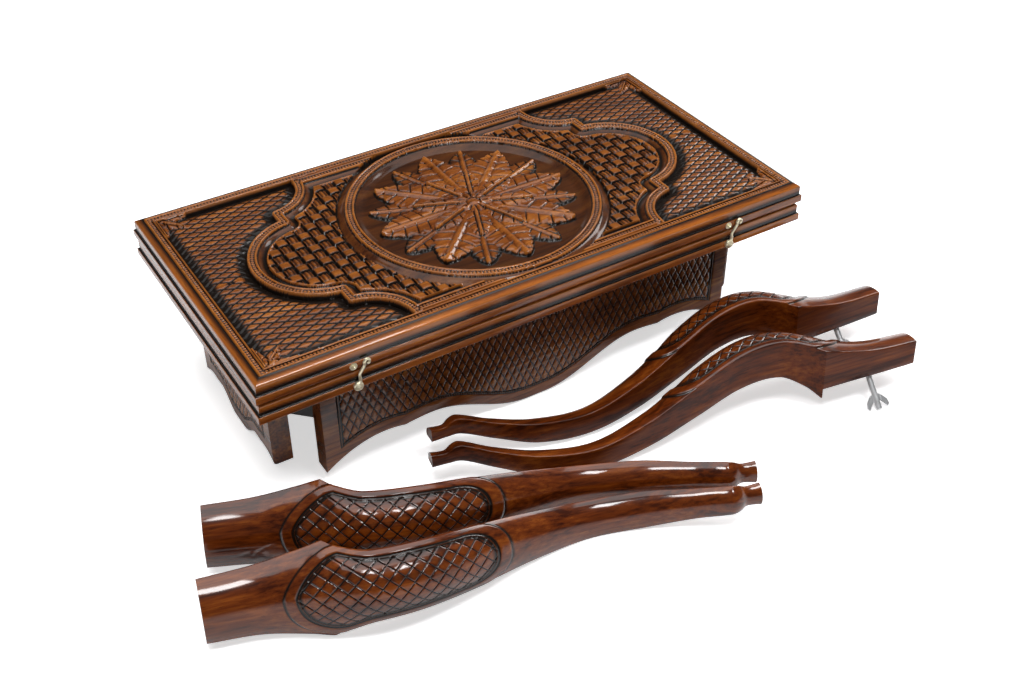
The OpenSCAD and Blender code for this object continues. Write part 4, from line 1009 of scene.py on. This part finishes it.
def tube(path, radii, sides=14):
    """A round bar along [x, z] points in an upright plane, as points, faces and end rings."""
    path = np.array(path, float)
    way = np.gradient(path, axis=0)
    way /= np.linalg.norm(way, axis=1)[:, None]
    turn = np.linspace(0, 2 * math.pi, sides, endpoint=False)[None, :]
    radii = np.broadcast_to(radii, len(path))[:, None]
    x = path[:, :1] - way[:, 1:] * radii * np.cos(turn)
    z = path[:, 1:] + way[:, :1] * radii * np.cos(turn)
    return points_of(x, -radii * np.sin(turn), z), *bar_faces(len(path), sides)


def button(profile, sides=36):
    """A round button turned about the Y axis from [radius, out] points, as points, faces and end rings."""
    profile = np.array(profile, float)
    turn = np.linspace(0, 2 * math.pi, sides, endpoint=False)[None, :]
    x, z = profile[:, :1] * np.cos(turn), profile[:, :1] * np.sin(turn)
    return points_of(x, -profile[:, 1:], z), *bar_faces(len(profile), sides)


def joined(*forms):
    """Several forms as one set of points, faces and rings."""
    points, quads, rings, start = [], [], [], 0
    for form_points, form_quads, form_rings in forms:
        points.append(form_points)
        quads.append(form_quads + start)
        rings += [ring + start for ring in form_rings]
        start += len(form_points)
    return np.concatenate(points), np.concatenate(quads), rings


# a hook from its pivot over the neck to the curled thumb, as [across, up] knots in millimetres
HOOK_LINE = (
    (0, 0), (0.9, 6), (-0.6, 12), (1, 17), (2.6, 21.5), (2.2, 25), (3.8, 27.6),
    (6.8, 26.6), (6.8, 23.6), (5, 23.2),
)
# knots along that line where its thickness changes, and its radius there
HOOK_KNOTS, HOOK_RADII = (0, 2, 5, 9), (1.9, 1.35, 1.6, 1.1)
# the round boss over the pivot as [radius, out] points
HOOK_BOSS = (
    (0.01, 2.7), (1.5, 2.4), (2.1, 1.5), (3.7, 1.6), (4.4, 1.2), (4.7, 0.3), (4.6, -0.9), (0.01, -0.9),
)
# the hooks' lean at rest in degrees, and the pivots' height and distance from the case's middle
HOOK_REST, PIVOT_HEIGHT, PIVOT_PLACE = 12, 128, 207


def build_latches(context):
    """The two swing hooks of the latches."""
    material = finishes(context).brass
    centre = case_middle()
    knots = np.array(HOOK_LINE, float)
    steps = np.arange(len(knots))
    fine = np.linspace(0, len(knots) - 1, 73)
    line_x, line_z = (smooth_curve(np.stack([steps, knots[:, k]], -1), fine) for k in (0, 1))
    lean = math.radians(HOOK_REST)
    upright, aside = math.cos(lean), math.sin(lean)
    path = np.stack([line_x * upright + line_z * aside, line_z * upright - line_x * aside], -1)
    form, quads, rings = joined(tube(path, np.interp(fine, HOOK_KNOTS, HOOK_RADII)), button(HOOK_BOSS))
    for side, x in (("left", -PIVOT_PLACE), ("right", PIVOT_PLACE)):
        points = form + (centre[0] + x, box_mm(f"hook_{side}")[2][1], PIVOT_HEIGHT)
        shape = piece(f"hook_{side}_cast", points, quads, material, rings=rings, sharp=50)
        place_piece(shape, f"hook_{side}", "brass", f"hook_{side}")


# the finish of each node that stays in view, by the start of its name; the first that fits holds
NODE_FINISHES = (
    ("inner_wood", ("lid_play", "tray_play", "tray_bottom", "apron_cleats")),
    ("light_inlay", ("lid_points_light", "tray_points_light")),
    ("dark_inlay", ("lid_points_dark", "tray_points_dark")),
    ("zinc", ("bracket_screws", "cleat_screws", "hinge_screws", "hinge_pin", "bolt_", "wing_nut_")),
    ("black_iron", ("bracket_",)),
    ("brass", ("hinge_leaf", "hook_", "keeper_")),
    ("light_checker", ("checkers_light",)),
    ("dark_checker", ("checkers_dark",)),
    ("bone", ("dice",)),
)


def dress_nodes(context):
    """Gives every node that stays in view its finish."""
    looks = finishes(context)
    for name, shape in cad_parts.items():
        for finish, starts in NODE_FINISHES:
            if name.startswith(starts):
                shape.data.materials.clear()
                shape.data.materials.append(getattr(looks, finish))
                break


def softbox(name, place, target, width, depth, power):
    """A rectangular lamp turned towards a point."""
    lamp = bpy.data.lights.new(name, "AREA")
    lamp.shape, lamp.size, lamp.size_y, lamp.energy = "RECTANGLE", width, depth, power
    shape = bpy.data.objects.new(name, lamp)
    shape.location = place
    shape.rotation_euler = (Vector(target) - Vector(place)).to_track_quat("-Z", "Y").to_euler()
    bpy.context.collection.objects.link(shape)


def ray(wire, kind):
    """1 on rays of this kind, 0 on others."""
    return wire.node("LightPath", output=f"Is {kind} Ray")


def reflected(wire):
    """1 on rays that come from a gloss or through glass, 0 on others."""
    return wire.sum("MAXIMUM", ray(wire, "Glossy"), ray(wire, "Transmission"))


def floor_material(stage):
    """A pale floor that keeps the board's shadow and turns white away from the board."""
    material, wire = new_material("pale_floor")
    place = wire.node("TexCoord", output="Object")
    away = place.node("VectorMath", {"operation": "LENGTH"}, {0: place}, output="Value").between(0.5, 1.3)
    glow = (stage.glow + away * (1 - stage.glow)) * ray(wire, "Camera")
    glow = glow + away * reflected(wire)
    surface(wire, {
        "Base Color": rgba(stage.floor), "Roughness": 0.9, "Specular IOR Level": 0.1,
        "Emission Color": glow.mixed((0, 0, 0, 1), (1, 1, 1, 1)), "Emission Strength": 1.0,
    })
    return material


def room_world(stage):
    """A dim room with a white backdrop low around the stage."""
    world = bpy.data.worlds.new("room")
    world.use_nodes = True
    world.node_tree.nodes.clear()
    air = Wire(world.node_tree)
    way = air.node("TexCoord", output="Generated")
    height = way.node("SeparateXYZ", {}, {0: way}, output="Z")
    backdrop = ray(air, "Camera") + reflected(air) * (1 - height.between(0.05, 0.2))
    strength = stage.room + backdrop * (1 - stage.room)
    glow = air.node("Background", {}, {"Color": (1, 1, 1, 1), "Strength": strength})
    air.node("OutputWorld", {}, {"Surface": glow})
    return world


# half the floor's width in metres
FLOOR_REACH = 40.0
# softboxes: place from the case's middle, width and depth in metres, the light it follows and its share of it
SOFTBOXES = (
    ("overhead_softbox", (0, 0.3, 1.8), (2.4, 1.5), "key", 1),
    ("front_softbox", (0.2, -0.75, 1.5), (0.42, 0.3), "front", 1),
    ("right_softbox", (1.4, 0.25, 1.15), (0.5, 0.7), "side", 1),
    ("left_softbox", (-0.5, -0.55, 1.45), (0.34, 0.3), "front", 0.8),
)
# the camera's place from the case's middle in metres, and its directions to the right and ahead
CAMERA_PLACE = (-0.55776, -0.96543, 0.87345)
CAMERA_RIGHT, CAMERA_AHEAD = (0.84819, -0.52970, 0.0), (0.41475, 0.66412, -0.62204)


def build_stage(context):
    """The pale floor, the softboxes, the dim room and the camera."""
    stage = context.scene.board_stage
    centre = Vector(case_middle() * MM)
    mesh = bpy.data.meshes.new("floor")
    signs = ((-1, -1), (1, -1), (1, 1), (-1, 1))
    mesh.from_pydata([(x * FLOOR_REACH, y * FLOOR_REACH, 0) for x, y in signs], [], [(0, 1, 2, 3)])
    mesh.materials.append(floor_material(stage))
    floor = bpy.data.objects.new("floor", mesh)
    context.collection.objects.link(floor)
    aim = centre + Vector((0, 0, 0.1))
    for name, place, (width, depth), light, part in SOFTBOXES:
        softbox(name, centre + Vector(place), aim, width, depth, getattr(stage, light) * part)
    context.scene.world = room_world(stage)
    camera = bpy.data.objects.new("camera", bpy.data.cameras.new("camera"))
    camera.data.lens, camera.data.sensor_width, camera.data.sensor_fit = stage.lens, 36, "HORIZONTAL"
    right, ahead = Vector(CAMERA_RIGHT), Vector(CAMERA_AHEAD).normalized()
    turn = Matrix((right, right.cross(ahead), -ahead)).transposed()
    camera.matrix_world = Matrix.Translation(centre + Vector(CAMERA_PLACE)) @ turn.to_4x4()
    context.collection.objects.link(camera)
    context.scene.camera = camera
    context.scene.view_settings.view_transform = "Standard"


class BOARD_OT_rails(bpy.types.Operator):
    """Build the moulded rails"""

    bl_idname = "board.rails"
    bl_label = "Rails"

    def execute(self, context):
        build_rails(context)
        return {"FINISHED"}


class BOARD_OT_carving(bpy.types.Operator):
    """Build the lid's carved panel"""

    bl_idname = "board.carving"
    bl_label = "Carved lid"

    def execute(self, context):
        build_carving(context)
        return {"FINISHED"}


class BOARD_OT_aprons(bpy.types.Operator):
    """Build the aprons"""

    bl_idname = "board.aprons"
    bl_label = "Aprons"

    def execute(self, context):
        build_aprons(context)
        return {"FINISHED"}


class BOARD_OT_legs(bpy.types.Operator):
    """Build the legs"""

    bl_idname = "board.legs"
    bl_label = "Legs"

    def execute(self, context):
        build_legs(context)
        return {"FINISHED"}


class BOARD_OT_latches(bpy.types.Operator):
    """Build the latches' hooks"""

    bl_idname = "board.latches"
    bl_label = "Latches"

    def execute(self, context):
        build_latches(context)
        return {"FINISHED"}


class BOARD_OT_fittings(bpy.types.Operator):
    """Give the fittings and the inside their finishes"""

    bl_idname = "board.fittings"
    bl_label = "Fittings"

    def execute(self, context):
        dress_nodes(context)
        return {"FINISHED"}


class BOARD_OT_stage(bpy.types.Operator):
    """Build the floor, the lamps and the camera"""

    bl_idname = "board.stage"
    bl_label = "Stage"

    def execute(self, context):
        build_stage(context)
        return {"FINISHED"}


GROUPS = (
    ("board_moulding", BoardMoulding), ("board_carving", BoardCarving), ("board_aprons", BoardAprons),
    ("board_legs", BoardLegs), ("board_finish", BoardFinish), ("board_stage", BoardStage),
)
OPERATORS = (
    BOARD_OT_rails, BOARD_OT_carving, BOARD_OT_aprons, BOARD_OT_legs, BOARD_OT_latches, BOARD_OT_fittings,
    BOARD_OT_stage,
)


class BOARD_PT_panel(bpy.types.Panel):
    """The board's pieces in the sidebar"""

    bl_idname = "BOARD_PT_panel"
    bl_label = "Backgammon Board"
    bl_space_type = "VIEW_3D"
    bl_region_type = "UI"
    bl_category = "Board"

    def draw(self, context):
        for operator in OPERATORS:
            self.layout.operator(operator.bl_idname)
        for name, group in GROUPS:
            box = self.layout.box()
            box.label(text=group.__doc__)
            for key in group.__annotations__:
                box.prop(getattr(context.scene, name), key)


def register():
    for name, group in GROUPS:
        bpy.utils.register_class(group)
        setattr(bpy.types.Scene, name, PointerProperty(type=group))
    for operator in OPERATORS:
        bpy.utils.register_class(operator)
    bpy.utils.register_class(BOARD_PT_panel)


def unregister():
    bpy.utils.unregister_class(BOARD_PT_panel)
    for operator in reversed(OPERATORS):
        bpy.utils.unregister_class(operator)
    for name, group in reversed(GROUPS):
        delattr(bpy.types.Scene, name)
        bpy.utils.unregister_class(group)


def main():
    register()
    bpy.ops.board.rails()
    bpy.ops.board.carving()
    bpy.ops.board.aprons()
    bpy.ops.board.legs()
    bpy.ops.board.latches()
    bpy.ops.board.fittings()
    bpy.ops.board.stage()


if __name__ == "__main__":
    main()
